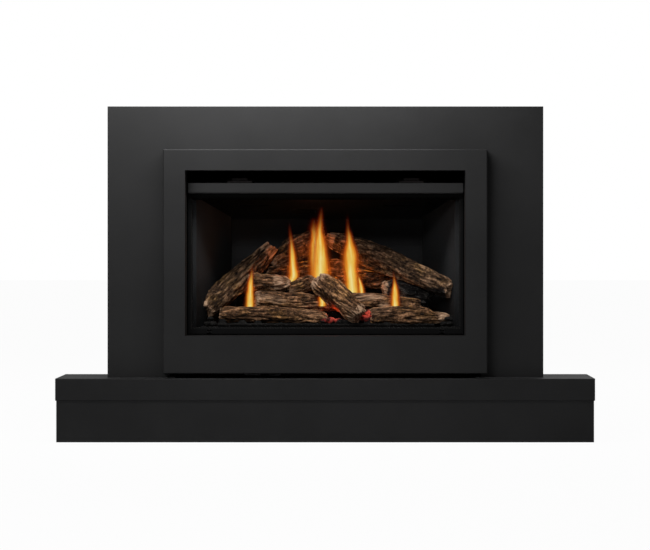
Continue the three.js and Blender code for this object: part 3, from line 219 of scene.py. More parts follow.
def bark_group():
    """Cast and painted bark: dark furrows, brown ridges with tan crests, bare wood and charred parts; the
    dark of the furrows is also painted shade and the tan of the crests also painted highlight.
    """
    tree, given, out = new_group(
        "painted bark",
        [("Shade", "value", 1.0), ("Warmth", "value", 0.5)],
        [("Colour", "colour"), ("Roughness", "value"), ("Normal", "vector")],
    )
    grain = attribute(tree, "grain", "Vector")
    relief = attribute(tree, "relief")
    bare_wood = attribute(tree, "bare wood")
    char = attribute(tree, "char")
    place = object_place(tree)
    fibres = noise_of(tree, grain, 620.0, 4.0, 0.6, 0.4)
    streaks = noise_of(tree, grain, 240.0, 4.0, 0.65, 0.6)
    patches = noise_of(tree, place, 24.0, 4.0, 0.6)
    height = sums(tree, "MULTIPLY", relief, 0.55)
    height = sums(tree, "ADD", height, sums(tree, "MULTIPLY", remap(tree, streaks, 0.3, 0.7), 0.3))
    height = sums(tree, "ADD", height, sums(tree, "MULTIPLY", remap(tree, fibres, 0.3, 0.7), 0.2))
    blotches = noise_of(tree, place, 120.0, 4.0, 0.65, 0.5)
    height = sums(tree, "ADD", height, remap(tree, blotches, 0.32, 0.68, -0.15, 0.17))
    # Colour by height: the bark's paint, and also painted shade in the furrows and painted highlights on
    # the crests; bare wood and char darken in their hollows the same way.
    bark = ramp(tree, height, [
        (0.20, (0.0035, 0.0024, 0.0016)),
        (0.38, (0.018, 0.0112, 0.0066)),
        (0.55, (0.052, 0.0325, 0.0190)),
        (0.74, (0.118, 0.0760, 0.0460)),
        (0.92, (0.30, 0.20, 0.125)),
    ])
    olive = mixed(tree, remap(tree, patches, 0.48, 0.68, 0.0, 0.75), bark, (0.92, 0.9, 0.58, 1), "MULTIPLY")
    grey = mixed(tree, remap(tree, patches, 0.48, 0.28, 0.0, 0.7), olive, (0.86, 0.84, 0.88, 1), "MULTIPLY")
    warm = mixed(tree, given.outputs["Warmth"], grey, (1.18, 0.92, 0.74, 1), "MULTIPLY")
    wood_height = sums(tree, "MULTIPLY", relief, 0.4)
    wood_height = sums(tree, "ADD", wood_height, sums(tree, "MULTIPLY", fibres, 0.7))
    wood = ramp(tree, wood_height, [
        (0.25, (0.035, 0.016, 0.009)),
        (0.45, (0.15, 0.080, 0.045)),
        (0.68, (0.42, 0.27, 0.17)),
    ])
    cinder = ramp(tree, height, [
        (0.25, (0.0015, 0.0015, 0.0015)),
        (0.6, (0.008, 0.007, 0.0065)),
        (0.86, (0.045, 0.04, 0.036)),
    ])
    flecks = remap(tree, noise_of(tree, place, 420.0, 2.0), 0.73, 0.79)
    cinder = mixed(tree, flecks, cinder, (0.10, 0.097, 0.094, 1))
    outer = mixed(tree, char, warm, cinder)
    shade = add_node(tree, "ShaderNodeCombineColor", {i: given.outputs["Shade"] for i in range(3)})
    outer = mixed(tree, 1.0, outer, shade.outputs["Color"], "MULTIPLY")
    surface = mixed(tree, bare_wood, outer, wood)
    rough = remap(tree, fibres, 0.3, 0.7, 0.95, 0.78)
    bump = bump_of(tree, height, 0.0026)
    return finish_group(tree, out, {"Colour": surface, "Roughness": rough, "Normal": bump})


powder_coat = powder_coat_group()
zinc_spangle = spangle_group()
drawn_lines = scuff_group()
painted_bark = bark_group()


# ------------------------------------------------------------------ finishes
def new_finish(name, effect=None, effect_values=None, links=("Colour", "Roughness", "Normal"), **sockets):
    """A material on one Principled shader, with an optional effect group feeding it."""
    material = bpy.data.materials.new(name)
    material.use_nodes = True
    tree = material.node_tree
    shader = tree.nodes["Principled BSDF"]
    for label, value in sockets.items():
        shader.inputs[label.replace("_", " ")].default_value = value
    if effect:
        group = add_node(tree, "ShaderNodeGroup", node_tree=effect)
        for label, value in (effect_values or {}).items():
            group.inputs[label].default_value = value
        targets = {"Colour": "Base Color", "Roughness": "Roughness", "Normal": "Normal"}
        for label in links:
            if label in group.outputs:
                tree.links.new(group.outputs[label], shader.inputs[targets[label]])
    return material


def coated(name, colour, sheen=0.5, peel=0.00004, gloss=0.15):
    values = {"Colour": (*colour, 1), "Sheen": sheen, "Peel": peel}
    return new_finish(name, powder_coat, values, Specular_IOR_Level=gloss)


def zinc(name, colour, crystal=90.0):
    values = {"Colour": (*colour, 1), "Crystal size": crystal}
    return new_finish(
        name, zinc_spangle, values, ("Colour", "Roughness"), Metallic=0.85, Specular_IOR_Level=0.05,
    )


def bare(name, colour, sheen=0.35, metallic=1.0, depth=0.00003):
    values = {"Colour": (*colour, 1), "Sheen": sheen, "Depth": depth}
    return new_finish(name, drawn_lines, values, Metallic=metallic, Specular_IOR_Level=0.05)


charcoal_coat = coated("charcoal coat", (0.0128, 0.0128, 0.0130), 0.42)
riser_coat = coated("riser coat", (0.0145, 0.0145, 0.0148), 0.5, gloss=0.1)
door_coat = coated("door coat", (0.0033, 0.0033, 0.0034), 0.42, gloss=0.05)
# The visor's coat is the charcoal paint made over twice as light: painted light, for the light the trim's
# head keeps off it.
visor_coat_painted_light = coated("visor coat, painted light", (0.030, 0.030, 0.0305), 0.38, gloss=0.25)
stove_black = coated("stove black", (0.0012, 0.0012, 0.0012), 0.7, 0.00006, 0.03)
galvanised = zinc("galvanised sheet", (0.36, 0.37, 0.38))
stand_zinc = zinc("stand zinc", (0.30, 0.31, 0.32), 70.0)
latch_steel = bare("blackened steel", (0.016, 0.0135, 0.0135), 0.5, 0.4)
pilot_steel = bare("burnt steel", (0.03, 0.027, 0.025), 0.55, 0.3)
cast_aluminium = bare("cast aluminium", (0.17, 0.172, 0.176), 0.6)
spun_aluminium = bare("spun aluminium", (0.62, 0.63, 0.64), 0.28)
yellow_brass = bare("yellow brass", (0.56, 0.38, 0.13), 0.3)
knob_black = bare("knob black", (0.012, 0.012, 0.012), 0.42, 0.0, 0.00001)


def ceramic_glass_finish():
    """Clear ceramic glass with its faint brown cast and a trace of haze in patches."""
    material = new_finish("ceramic glass", Roughness=0.04, IOR=1.5, Specular_IOR_Level=0.3)
    tree = material.node_tree
    shader = tree.nodes["Principled BSDF"]
    place = object_place(tree)
    haze = noise_of(tree, place, 4.0, 5.0, 0.6)
    tree.links.new(remap(tree, haze, 0.35, 0.8, 0.015, 0.03), shader.inputs["Alpha"])
    tree.links.new(remap(tree, haze, 0.35, 0.8, 0.03, 0.08), shader.inputs["Roughness"])
    cast = ramp(tree, haze, [(0.0, (0.004, 0.0035, 0.003)), (1.0, (0.008, 0.007, 0.006))])
    tree.links.new(cast, shader.inputs["Base Color"])
    return material


def rope_finish():
    """Plaited glass-fibre rope round the door glass."""
    material = new_finish("glass rope", Roughness=0.95, Specular_IOR_Level=0.1)
    tree = material.node_tree
    shader = tree.nodes["Principled BSDF"]
    place = object_place(tree)
    plait = add_node(
        tree, "ShaderNodeTexWave", {"Vector": place, "Scale": 90.0, "Distortion": 1.5, "Detail": 2.0},
        bands_direction="DIAGONAL",
    ).outputs["Fac"]
    strands = ramp(tree, plait, [(0.1, (0.003, 0.003, 0.003)), (0.8, (0.014, 0.0135, 0.013))])
    tree.links.new(strands, shader.inputs["Base Color"])
    tree.links.new(bump_of(tree, plait, 0.0008), shader.inputs["Normal"])
    return material


def ember_finish(name, hot):
    """Charred ceramic lumps with patches of grey ash and red heat where the glow attribute says."""
    material = new_finish(name, Roughness=0.92, Emission_Strength=hot, Specular_IOR_Level=0.05)
    tree = material.node_tree
    shader = tree.nodes["Principled BSDF"]
    place = object_place(tree)
    crumbs = noise_of(tree, place, 240.0, 6.0, 0.7)
    ash = noise_of(tree, place, 60.0, 4.0, 0.6)
    char = ramp(tree, crumbs, [
        (0.3, (0.0022, 0.0022, 0.0022)),
        (0.55, (0.009, 0.0085, 0.008)),
        (0.8, (0.05, 0.047, 0.044)),
    ])
    char = mixed(tree, remap(tree, ash, 0.55, 0.8, 0.0, 0.4), char, (0.032, 0.029, 0.027, 1))
    tree.links.new(char, shader.inputs["Base Color"])
    glow = attribute(tree, "glow")
    clouds = noise_of(tree, place, 95.0, 3.0, 0.5)
    veins = sums(tree, "MULTIPLY", glow, remap(tree, clouds, 0.66, 0.36, 0.12, 1.0))
    heat = ramp(tree, veins, [
        (0.05, (0.0, 0.0, 0.0)),
        (0.32, (0.15, 0.013, 0.009)),
        (0.65, (0.46, 0.055, 0.033)),
        (1.0, (0.80, 0.15, 0.085)),
    ])
    tree.links.new(heat, shader.inputs["Emission Color"])
    tree.links.new(bump_of(tree, crumbs, 0.0015), shader.inputs["Normal"])
    return material


def flame_finish(name, strength, tip, core):
    """A gas flame: pale yellow inside, orange edges, and a tip that fades through red."""
    material = new_finish(
        name, Base_Color=(0, 0, 0, 1), Roughness=1.0, Emission_Strength=strength, Specular_IOR_Level=0.0,
    )
    tree = material.node_tree
    shader = tree.nodes["Principled BSDF"]
    across = attribute(tree, "across")
    rise = attribute(tree, "rise")
    streaks = noise_of(tree, attribute(tree, "stream", "Vector"), 3.0, 3.0, 0.5, 0.3)
    body = sums(tree, "SUBTRACT", sums(tree, "SUBTRACT", 1.0, across), sums(tree, "MULTIPLY", rise, 0.38))
    body = sums(tree, "ADD", body, remap(tree, streaks, 0.25, 0.75, -0.14, 0.14))
    colour = ramp(tree, body, [
        (0.0, (0.20, 0.020, 0.003)),
        (0.22, (0.50, 0.095, 0.008)),
        (0.42, (0.78, 0.28, 0.022)),
        (0.66, core),
        (0.95, (0.86, 0.73, 0.29)),
    ])
    colour = mixed(tree, remap(tree, rise, tip, 0.97), colour, (0.20, 0.012, 0.001, 1))
    tree.links.new(colour, shader.inputs["Emission Color"])
    edge = remap(tree, across, 1.0, 0.25)
    top = remap(tree, rise, 1.0, tip)
    foot = remap(tree, rise, 0.0, 0.06)
    wisps = remap(tree, sums(tree, "ADD", streaks, sums(tree, "MULTIPLY", body, 1.2)), 0.2, 0.75)
    veil = sums(tree, "MULTIPLY", sums(tree, "MULTIPLY", edge, top), sums(tree, "MULTIPLY", foot, wisps))
    tree.links.new(veil, shader.inputs["Alpha"])
    return material


def liner_finish():
    """Black enamelled panels, darkened towards the foot with painted shade."""
    material = coated("liner black", (0.0182, 0.0187, 0.0196), 0.65, 0.0002, 0.04)
    tree = material.node_tree
    shader = tree.nodes["Principled BSDF"]
    place = object_place(tree)
    height = add_node(tree, "ShaderNodeSeparateXYZ", {"Vector": place}).outputs["Z"]
    # Painted shade: the colour falls to about a sixth of itself towards the foot of the panels.
    uneven = sums(tree, "ADD", height, remap(tree, noise_of(tree, place, 14.0, 4.0), 0.3, 0.7, -0.02, 0.02))
    foot_shade = mixed(tree, remap(tree, uneven, 0.27, 0.46), (0.16, 0.16, 0.16, 1), (1, 1, 1, 1))
    colour = mixed(tree, 1.0, shader.inputs["Base Color"].links[0].from_socket, foot_shade, "MULTIPLY")
    tree.links.new(colour, shader.inputs["Base Color"])
    return material


liner_black = liner_finish()
ceramic_glass = ceramic_glass_finish()
glass_rope = rope_finish()
cold_ember = ember_finish("charred ember", 1.0)
hot_ember = ember_finish("glowing ember", 1.1)
flame_bright = flame_finish("bright flame", 1.0, 0.56, (0.80, 0.50, 0.085))
flame_lick = flame_finish("flame lick", 0.9, 0.6, (0.62, 0.19, 0.02))


def bark_finish(name, shade, warmth):
    return new_finish(name, painted_bark, {"Shade": shade, "Warmth": warmth}, Specular_IOR_Level=0.08)


def black_inside(name, finish, low, high, shade=0.003):
    """A copy of the finish that is black within a box, given by its two corners in metres."""
    material = finish.copy()
    material.name = name
    tree = material.node_tree
    shader = tree.nodes["Principled BSDF"]
    middle = [(a + b) / 2 for a, b in zip(low, high)]
    half = [(b - a) / 2 for a, b in zip(low, high)]
    place = object_place(tree)
    away = place
    for operation, other in (("SUBTRACT", {1: middle}), ("ABSOLUTE", {}), ("DIVIDE", {1: half})):
        step = add_node(tree, "ShaderNodeVectorMath", {0: away, **other}, operation=operation)
        away = step.outputs["Vector"]
    share = add_node(tree, "ShaderNodeSeparateXYZ", {"Vector": away}).outputs
    furthest = sums(tree, "MAXIMUM", share["X"], sums(tree, "MAXIMUM", share["Y"], share["Z"]))
    outside = sums(tree, "GREATER_THAN", furthest, 1.0)
    colour = shader.inputs["Base Color"].links[0].from_socket
    tree.links.new(mixed(tree, outside, (shade, shade, shade, 1), colour), shader.inputs["Base Color"])
    matt = sums(tree, "MULTIPLY", sums(tree, "LESS_THAN", furthest, 1.0), 0.85)
    rough = sums(tree, "MAXIMUM", matt, shader.inputs["Roughness"].links[0].from_socket)
    tree.links.new(rough, shader.inputs["Roughness"])
    metallic = shader.inputs["Metallic"].default_value
    if metallic:
        tree.links.new(sums(tree, "MULTIPLY", outside, metallic), shader.inputs["Metallic"])
    return material


# Each group of logs gets its bark lighter or darker by its Shade: partly the logs' own tone, partly painted
# light and painted shade for how light reaches each group.
bark_front = bark_finish("bark, front logs", 1.08, 0.95)
bark_crossing = bark_finish("bark, crossing logs", 1.4, 0.95)
bark_upper = bark_finish("bark, leaning logs", 0.88, 0.5)
bark_rear = bark_finish("bark, rear logs", 0.85, 0.7)


# Inside the casing the finish turns black, painted shade for the dark interior that light does not reach;
# the trim's return round the opening is black too.
wrap_low, wrap_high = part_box("casing_wrap")
skin = 0.0006
casing_low = (wrap_low[0] + skin, wrap_low[1] - 0.05, wrap_low[2] + skin)
casing_high = (wrap_high[0] - skin, wrap_high[1] - skin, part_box("casing_top")[1][2] - skin)
galvanised_painted_shade = black_inside("galvanised, painted shade inside", galvanised, casing_low, casing_high)
flue_aluminium_painted_shade = black_inside("flue aluminium, painted shade inside", spun_aluminium, casing_low, casing_high)
door_low, door_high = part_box("door_frame")[0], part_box("door_visor")[1]
trim_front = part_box("front_trim")[0][1]
reveal = 0.004
opening_low = (door_low[0] - reveal, trim_front + 0.0012, door_low[2] - reveal)
opening_high = (door_high[0] + reveal, trim_front + 0.08, door_high[2] + 0.04)
# A slightly darker copy of the charcoal coat: painted shade on the trim.
trim_charcoal_painted_shade = coated("trim charcoal, painted shade", (0.0119, 0.0119, 0.0121), 0.42)
trim_coat = black_inside("trim coat", trim_charcoal_painted_shade, opening_low, opening_high)
visor_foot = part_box("door_visor")[0][2]
# The door's head, from just under the visor up, is black: painted shade for the deep shade behind the
# visor.
shaded_head_low = (door_low[0] - reveal, door_low[1] - 0.05, visor_foot - 0.013)
shaded_head_high = (door_high[0] + reveal, door_high[1] + 0.05, door_high[2] + 0.05)
door_coat_painted_shade_head = black_inside("door coat, painted shade at head", door_coat, shaded_head_low, shaded_head_high, 0.0006)


# ------------------------------------------------------------------ finishes on the CAD nodes
def finish_node(node, material):
    piece = cad[node]
    if piece.material_slots:
        for held in piece.material_slots:
            held.material = material
    else:
        piece.data.materials.append(material)


for material, names in (
    (galvanised_painted_shade, "casing_wrap casing_top casing_base intake_duct"),
    (galvanised, "flue_plate blower_housing burner_venturi air_shutter"),
    (stand_zinc, "rear_stand riser_brace_left riser_brace_right blower_motor"),
    (stove_black, "firebox_shell firebox_ceiling firebox_floor door_seat_frame burner_tray log_step"),
    (stove_black, "control_plate casing_front_frame relief_flap_left relief_flap_right"),
    (liner_black, "liner_left liner_right liner_back"),
    (flue_aluminium_painted_shade, "exhaust_collar"),
    (spun_aluminium, "blower_wheel"),
    (pilot_steel, "pilot_assembly"),
    (cast_aluminium, "gas_valve gas_line"),
    (yellow_brass, "gas_inlet shutoff_lever"),
    (knob_black, "gas_knob flame_knob fan_dial power_rocker igniter_button"),
    (ceramic_glass, "door_glass"),
    (glass_rope, "door_gasket"),
):
    for node in names.split():
        finish_node(node, material)


# ------------------------------------------------------------------ mesh helpers
def link_piece(name, mesh, body, material, node=None):
    piece = bpy.data.objects.new(name, mesh)
    scene.collection.objects.link(piece)
    mesh.materials.clear()
    mesh.materials.append(material)
    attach(piece, body)
    if node:
        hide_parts(node)
    return piece


def mesh_of(shape, name):
    mesh = bpy.data.meshes.new(name)
    shape.to_mesh(mesh)
    shape.free()
    return mesh


def merged_copy(node):
    """A node's mesh as one connected bmesh."""
    shape = bmesh.new()
    shape.from_mesh(cad[node].data)
    bmesh.ops.remove_doubles(shape, verts=shape.verts, dist=0.00001)
    return shape


def eased(shape, edges, radius, segments):
    bmesh.ops.bevel(
        shape, geom=edges, offset=radius * MM, offset_type="OFFSET", segments=segments, profile=0.5,
        affect="EDGES", clamp_overlap=True, material=-1,
    )


def sharp_edges(shape):
    return [e for e in shape.edges if len(e.link_faces) == 2 and e.calc_face_angle(0.0) > math.radians(40)]


def on_front_rim(edge, low, high):
    """Whether an edge lies along the outer rim of the piece's front face."""
    if any(v.co.y > low[1] + 0.0001 for v in edge.verts):
        return False
    return any(
        all(abs(v.co[i] - side[i]) < 0.0001 for v in edge.verts) for i in (0, 2) for side in (low, high)
    )


def folded_piece(node, name, radius, material, fold=0.0):
    """The node with its cut edges eased, and its front folds rounded, as bent sheet is."""
    shape = merged_copy(node)
    bmesh.ops.dissolve_limit(
        shape, angle_limit=math.radians(1.0), verts=shape.verts, edges=shape.edges, delimit={"NORMAL"},
    )
    if fold:
        eased(shape, [e for e in sharp_edges(shape) if on_front_rim(e, *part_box(node))], fold, 5)
    eased(shape, sharp_edges(shape), radius, 2)
    bmesh.ops.triangulate(shape, faces=[f for f in shape.faces if len(f.verts) > 4])
    return link_piece(name, mesh_of(shape, name), frame_body(node), material, node)


def frame_body(node):
    for body, members in frame["record"]["behaviour"]["bodies"].items():
        if node in members:
            return body
    raise KeyError(node)


# Each sheet piece: its node, its name, how far its cut edges are eased, its finish, its slot, and the
# radius of the folds round its front face, in millimetres.
for node, name, radius, material, slot, fold in (
    ("riser_top", "riser_cap_sheet", 0.6, riser_coat, "charcoal_paint", 1.8),
    ("riser_base", "riser_base_sheet", 0.6, riser_coat, "charcoal_paint", 1.2),
    ("surround_plate", "surround_sheet", 0.8, charcoal_coat, "charcoal_paint", 0.0),
    ("front_trim", "trim_frame", 0.6, trim_coat, "charcoal_paint", 3.0),
    ("door_visor", "door_top_rail", 1.5, visor_coat_painted_light, "charcoal_paint", 0.0),
    ("door_frame", "door_rails", 0.7, door_coat_painted_shade_head, "black_paint", 0.0),
    ("latch_lever_left", "latch_left_pressing", 0.5, latch_steel, "galvanised_steel", 0.0),
    ("latch_lever_right", "latch_right_pressing", 0.5, latch_steel, "galvanised_steel", 0.0),
):
    folded_piece(node, name, radius, material, fold)


# ------------------------------------------------------------------ logs
def remeshed(node, voxel):
    """The node's solid as an even skin of small faces."""
    mesh = mesh_of(merged_copy(node), node + "_skin")
    helper = bpy.data.objects.new(node + "_skin", mesh)
    scene.collection.objects.link(helper)
    skin = helper.modifiers.new("even skin", "REMESH")
    skin.mode = "VOXEL"
    skin.voxel_size = voxel * MM
    bpy.context.view_layer.update()
    even = bpy.data.meshes.new_from_object(helper.evaluated_get(bpy.context.evaluated_depsgraph_get()))
    bpy.data.objects.remove(helper)
    return even


def coordinates(mesh):
    flat = np.empty(len(mesh.vertices) * 3, np.float32)
    mesh.vertices.foreach_get("co", flat)
    return flat.reshape(-1, 3).astype(float)


def vertex_normals(mesh):
    flat = np.empty(len(mesh.vertices) * 3, np.float32)
    mesh.vertex_normals.foreach_get("vector", flat)
    return flat.reshape(-1, 3).astype(float)


def move_vertices(mesh, places):
    mesh.vertices.foreach_set("co", places.astype(np.float32).ravel())
    mesh.update()


def paint_value(mesh, label, values):
    layer = mesh.attributes.new(label, "FLOAT", "POINT")
    layer.data.foreach_set("value", np.asarray(values, np.float32))


def paint_vector(mesh, label, values):
    layer = mesh.attributes.new(label, "FLOAT_VECTOR", "POINT")
    layer.data.foreach_set("vector", np.asarray(values, np.float32).ravel())


def wave(points, size, seed):
    """Smooth noise from about -1 to 1 at each point, with lumps of the given size in millimetres."""
    scaled = points / (size * MM) + seed * 17.31
    return np.array([noise.noise(Vector(p)) for p in scaled])


def log_axes(points):
    """A log's middle, and its directions: along it, then two across."""
    middle = points.mean(axis=0)
    _, _, rows = np.linalg.svd(points - middle, full_matrices=False)
    return middle, rows


def carve_log(node, name, material, seed, bare_ends, char_top, worn):
    """A log with furrows and ridges along its grain, bare wood at its ends and a charred underside."""
    mesh = remeshed(node, voxel=1.8)
    points = coordinates(mesh)
    normals = vertex_normals(mesh)
    middle, rows = log_axes(points)
    rows[0] *= np.sign(rows[0][0])
    local = (points - middle) @ rows.T
    along = local[:, 0]
    grain = local * np.array([0.15, 1.0, 1.0])
    grain[:, 1] += 0.0030 * wave(local, 26, seed + 5)
    grain[:, 2] += 0.0030 * wave(local, 31, seed + 6)
    ridges = np.abs(wave(grain, 8.5, seed)) * 2.4
    strands = np.abs(wave(grain, 4.2, seed + 1)) * 2.2
    threads = wave(grain, 2.3, seed + 2)
    scales = np.clip(0.5 + 4.0 * wave(local * np.array([0.45, 1.0, 1.0]), 15.0, seed + 3), 0, 1)
    knots = wave(local, 30.0, seed + 4)
    ragged = 9.0 * wave(grain, 5.0, seed + 7) + 5.0 * wave(local, 12.0, seed + 8)
    relief = 0.55 * ridges + 0.3 * strands + 0.15 * scales + 0.18 * threads
    left = (along - along.min()) / MM
    right = (along.max() - along) / MM
    bare = np.maximum(*(
        np.clip((length - away + ragged) / 4.0, 0, 1) for length, away in zip(bare_ends, (left, right))
    ))
    rubbed = np.clip((wave(local * np.array([0.35, 1.0, 1.0]), 22.0, seed + 9) - 0.42 + worn) / 0.12, 0, 1)
    bare = np.maximum(bare, rubbed * min(1.0, 2 * worn)) * (0.35 + 0.65 * np.clip(relief * 2.2, 0, 1))
    lift = 3.4 * (relief - 0.45) + 1.2 * scales + 1.8 * knots - 0.9 * bare
    tips = np.clip(1 - np.minimum(left, right) / 7.0, 0, 1)
    splinters = tips * wave(local * np.array([0.15, 1.0, 1.0]), 3.4, seed + 10)
    splinters *= np.sign(along - along.mean())
    places = points + normals * (lift * MM)[:, None] + np.outer(splinters * 0.006, rows[0])
    move_vertices(mesh, places)
    mesh.shade_smooth()
    char = np.clip((char_top - points[:, 2] / MM + 3.0 * knots + ragged * 0.4) / 9.0, 0, 1)
    paint_vector(mesh, "grain", grain)
    paint_value(mesh, "relief", np.clip(relief, 0, 1))
    paint_value(mesh, "bare wood", bare)
    paint_value(mesh, "char", char)
    return link_piece(name, mesh, "insert_body", material, node)


# Bare wood in millimetres at each log's left and right end, the height under which it is charred,
# and how much of its bark is rubbed away.
LOGS = (
    ("log_front_left", bark_front, (5, 5), 305, 0.05),
    ("log_front_right", bark_front, (6, 34), 300, 0.08),
    ("log_middle_left", bark_front, (16, 10), 326, 0.16),
    ("log_middle_right", bark_front, (10, 4), 326, 0.32),
    ("log_rear", bark_rear, (10, 12), 392, 0.12),
    ("log_base_right", bark_rear, (18, 2), 420, 0.0),
    ("log_small_left", bark_crossing, (6, 44), 386, 0.1),
    ("log_chunk", bark_crossing, (3, 16), 372, 0.2),
    ("log_left_diagonal", bark_upper, (16, 36), 300, 0.04),
    ("log_rear_left", bark_rear, (10, 20), 432, 0.15),
    ("log_right_diagonal", bark_upper, (34, 10), 396, 0.06),
    ("log_crossing", bark_crossing, (22, 26), 290, 0.1),
)
for number, (node, material, bare_ends, char_top, worn) in enumerate(LOGS):
    carve_log(node, node.replace("log_", "bark_"), material, number + 1, bare_ends, char_top, worn)


# ------------------------------------------------------------------ embers
HOT_SPOTS = (  # middle of each glow, how far it reaches and how hot it is
    (-4, 151, 313, 12, 0.8),
    (10, 151, 314, 16, 1.1),
    (26, 151, 312, 13, 0.9),
    (104, 156, 321, 17, 0.7),
    (118, 160, 323, 17, 1.0),
    (186, 200, 350, 12, 0.7),
)


def glow_at(points):
    heat = np.zeros(len(points))
    for x, depth, z, reach, strength in HOT_SPOTS:
        away = np.linalg.norm(points - np.array(spot(x, depth, z)), axis=1) / (reach * MM)
        heat = np.maximum(heat, strength * np.clip(1.25 - away, 0, 1))
    return heat


def crumble(mesh, depth, seed):
    """Breaks a smooth lump up into charred chips."""
    points = coordinates(mesh)
    normals = vertex_normals(mesh)
    chips = 0.6 * wave(points, 7.0, seed) + 0.4 * wave(points, 3.0, seed + 1)
    move_vertices(mesh, points + normals * (chips * depth * MM)[:, None])
    paint_value(mesh, "glow", glow_at(points))


ember_skin = remeshed("ember_bed", voxel=2.2)
crumble(ember_skin, depth=1.8, seed=60)
ember_skin.shade_smooth()
link_piece("charred_bed", ember_skin, "insert_body", cold_ember, "ember_bed")


def scattered_lumps(name, places, material):
    """Loose lumps, each a chipped ball, in one piece."""
    shape = bmesh.new()
    for number, (x, depth, z, size) in enumerate(places):
        made = bmesh.ops.create_icosphere(shape, subdivisions=3, radius=size * MM)["verts"]
        tumble = Euler((0.7 * number, 0.4 * number, 0.9 * number)).to_matrix()
        bmesh.ops.rotate(shape, verts=made, cent=(0, 0, 0), matrix=tumble)
        bmesh.ops.scale(shape, verts=made, vec=(1.15, 0.95, 0.8))
        for vert in made:
            facet = noise.noise(vert.co / (size * MM) * 1.4 + Vector((number * 3.1, 0, 0)))
            chip = noise.noise(vert.co / (size * MM) * 4.0 + Vector((0, number * 1.7, 0)))
            vert.co *= 1.0 + 0.28 * facet + 0.08 * chip
        bmesh.ops.translate(shape, verts=made, vec=spot(x, depth, z))
    mesh = mesh_of(shape, name)
    paint_value(mesh, "glow", glow_at(coordinates(mesh)))
    mesh.shade_smooth()
    return link_piece(name, mesh, "insert_body", material)


def chance(number, seed):
    """A steady stand-in for a random number of about 0 to 1."""
    return 0.5 + 0.5 * noise.noise(Vector((number * 1.37 + 0.31, seed * 5.13 + 0.17, 0.7))) / 0.6


floor_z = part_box("firebox_floor")[1][2] / MM
loose = []
FRONT_ROW = 58
for number in range(FRONT_ROW):
    side = number / (FRONT_ROW - 1)
    x = -300 + 600 * side + 8 * (chance(number, 1) - 0.5)
    depth = 128 - 10 * chance(number, 2)
    loose.append((x, depth, floor_z + 5.5, 5.0 + 3.0 * chance(number, 3)))
LUMP_LAYER = 13  # how much higher each layer of a heap lies
for x, depth, size, layer in (  # a heap of lumps in each front corner
    (330, 130, 8.5, 0), (315, 129, 8.5, 0), (301, 129, 8, 0), (326, 140, 8, 0), (310, 141, 8, 0),
    (322, 133, 8.5, 1), (331, 138, 7, 1), (307, 135, 8, 1), (318, 140, 7.5, 1),
    (326, 137, 7.5, 2), (316, 139, 7, 2), (330, 140, 5, 2.6),
    (-286, 129, 8.5, 0), (-300, 129, 8, 0), (-315, 130, 8, 0), (-308, 141, 8, 0),
    (-292, 133, 8.5, 1), (-308, 134, 8, 1), (-299, 137, 7.5, 2),
):
    loose.append((x, depth, floor_z + 8 + LUMP_LAYER * layer, size))
scattered_lumps("loose_embers", loose, cold_ember)
scattered_lumps(
    "glowing_coals",
    [(14, 152, 305, 11), (34, 150, 303, 10), (52, 148, 302, 9), (-6, 150, 304, 8),
     (104, 158, 310, 12), (122, 160, 318, 10), (112, 170, 326, 9), (186, 196, 348, 7)],
    hot_ember,
)


# ------------------------------------------------------------------ flames
def flame_sheet(shape, spine, widths, toward, layers, seed, soft=0.0):
    """One curved sheet of flame: follows the spine and swells to the widths, spread along toward.

    With soft above 0 it is a veil, with no bright middle."""
    rows, columns = 48, 12
    made = bmesh.ops.create_grid(shape, x_segments=columns, y_segments=rows, size=1.0)["verts"]
    for vert in made:
        across, rise = vert.co.x, (vert.co.y + 1) / 2
        middle = follow(spine, rise)
        half = follow([(w,) for w in widths], rise)[0]
        sway = 0.9 * math.sin(7.0 * rise + seed) * rise
        x = middle[0] + toward[0] * across * half + sway
        depth = middle[1] + toward[1] * across * half + 2.5 * (1 - across * across) * toward[0]
        vert.co = spot(x, depth, middle[2])
        vert[layers[0]] = soft + (1 - soft) * abs(across)
        vert[layers[1]] = rise
        vert[layers[2]] = Vector((across * 1.1 + seed, rise * 1.3, seed))


def follow(points, t):
    """The place at t from 0 to 1 on an even, smoothed run of points."""
    run = t * (len(points) - 1)
    i = min(int(run), len(points) - 2)
    f = run - i
    before, after = points[max(i - 1, 0)], points[min(i + 2, len(points) - 1)]
    return [
        0.5 * (2 * b + (c - a) * f + (2 * a - 5 * b + 4 * c - d) * f * f + (3 * b - a - 3 * c + d) * f ** 3)
        for a, b, c, d in zip(before, points[i], points[i + 1], after)
    ]


def flame(name, tongues, material):
    """A flame of one or more tongues, each a sheet across the opening, one through it, and a veil."""
    shape = bmesh.new()
    layers = (
        shape.verts.layers.float.new("across"),
        shape.verts.layers.float.new("rise"),
        shape.verts.layers.float_vector.new("stream"),
    )
    across, through = (1.0, 0.0), (0.0, 1.0)
    for number, (spine, widths) in enumerate(tongues):
        seed = 1.7 * number + len(name)
        flame_sheet(shape, spine, widths, across, layers, seed)
        narrow = [0.55 * w for w in widths]
        flame_sheet(shape, spine, narrow, through, layers, 2.9 * number + len(name))
        behind = [(x, depth + 3, z) for x, depth, z in spine]
        flame_sheet(shape, behind, [1.3 * w + 3 for w in widths], across, layers, seed, soft=0.35)
    mesh = mesh_of(shape, name)
    mesh.shade_smooth()
    return link_piece(name, mesh, "insert_body", material)


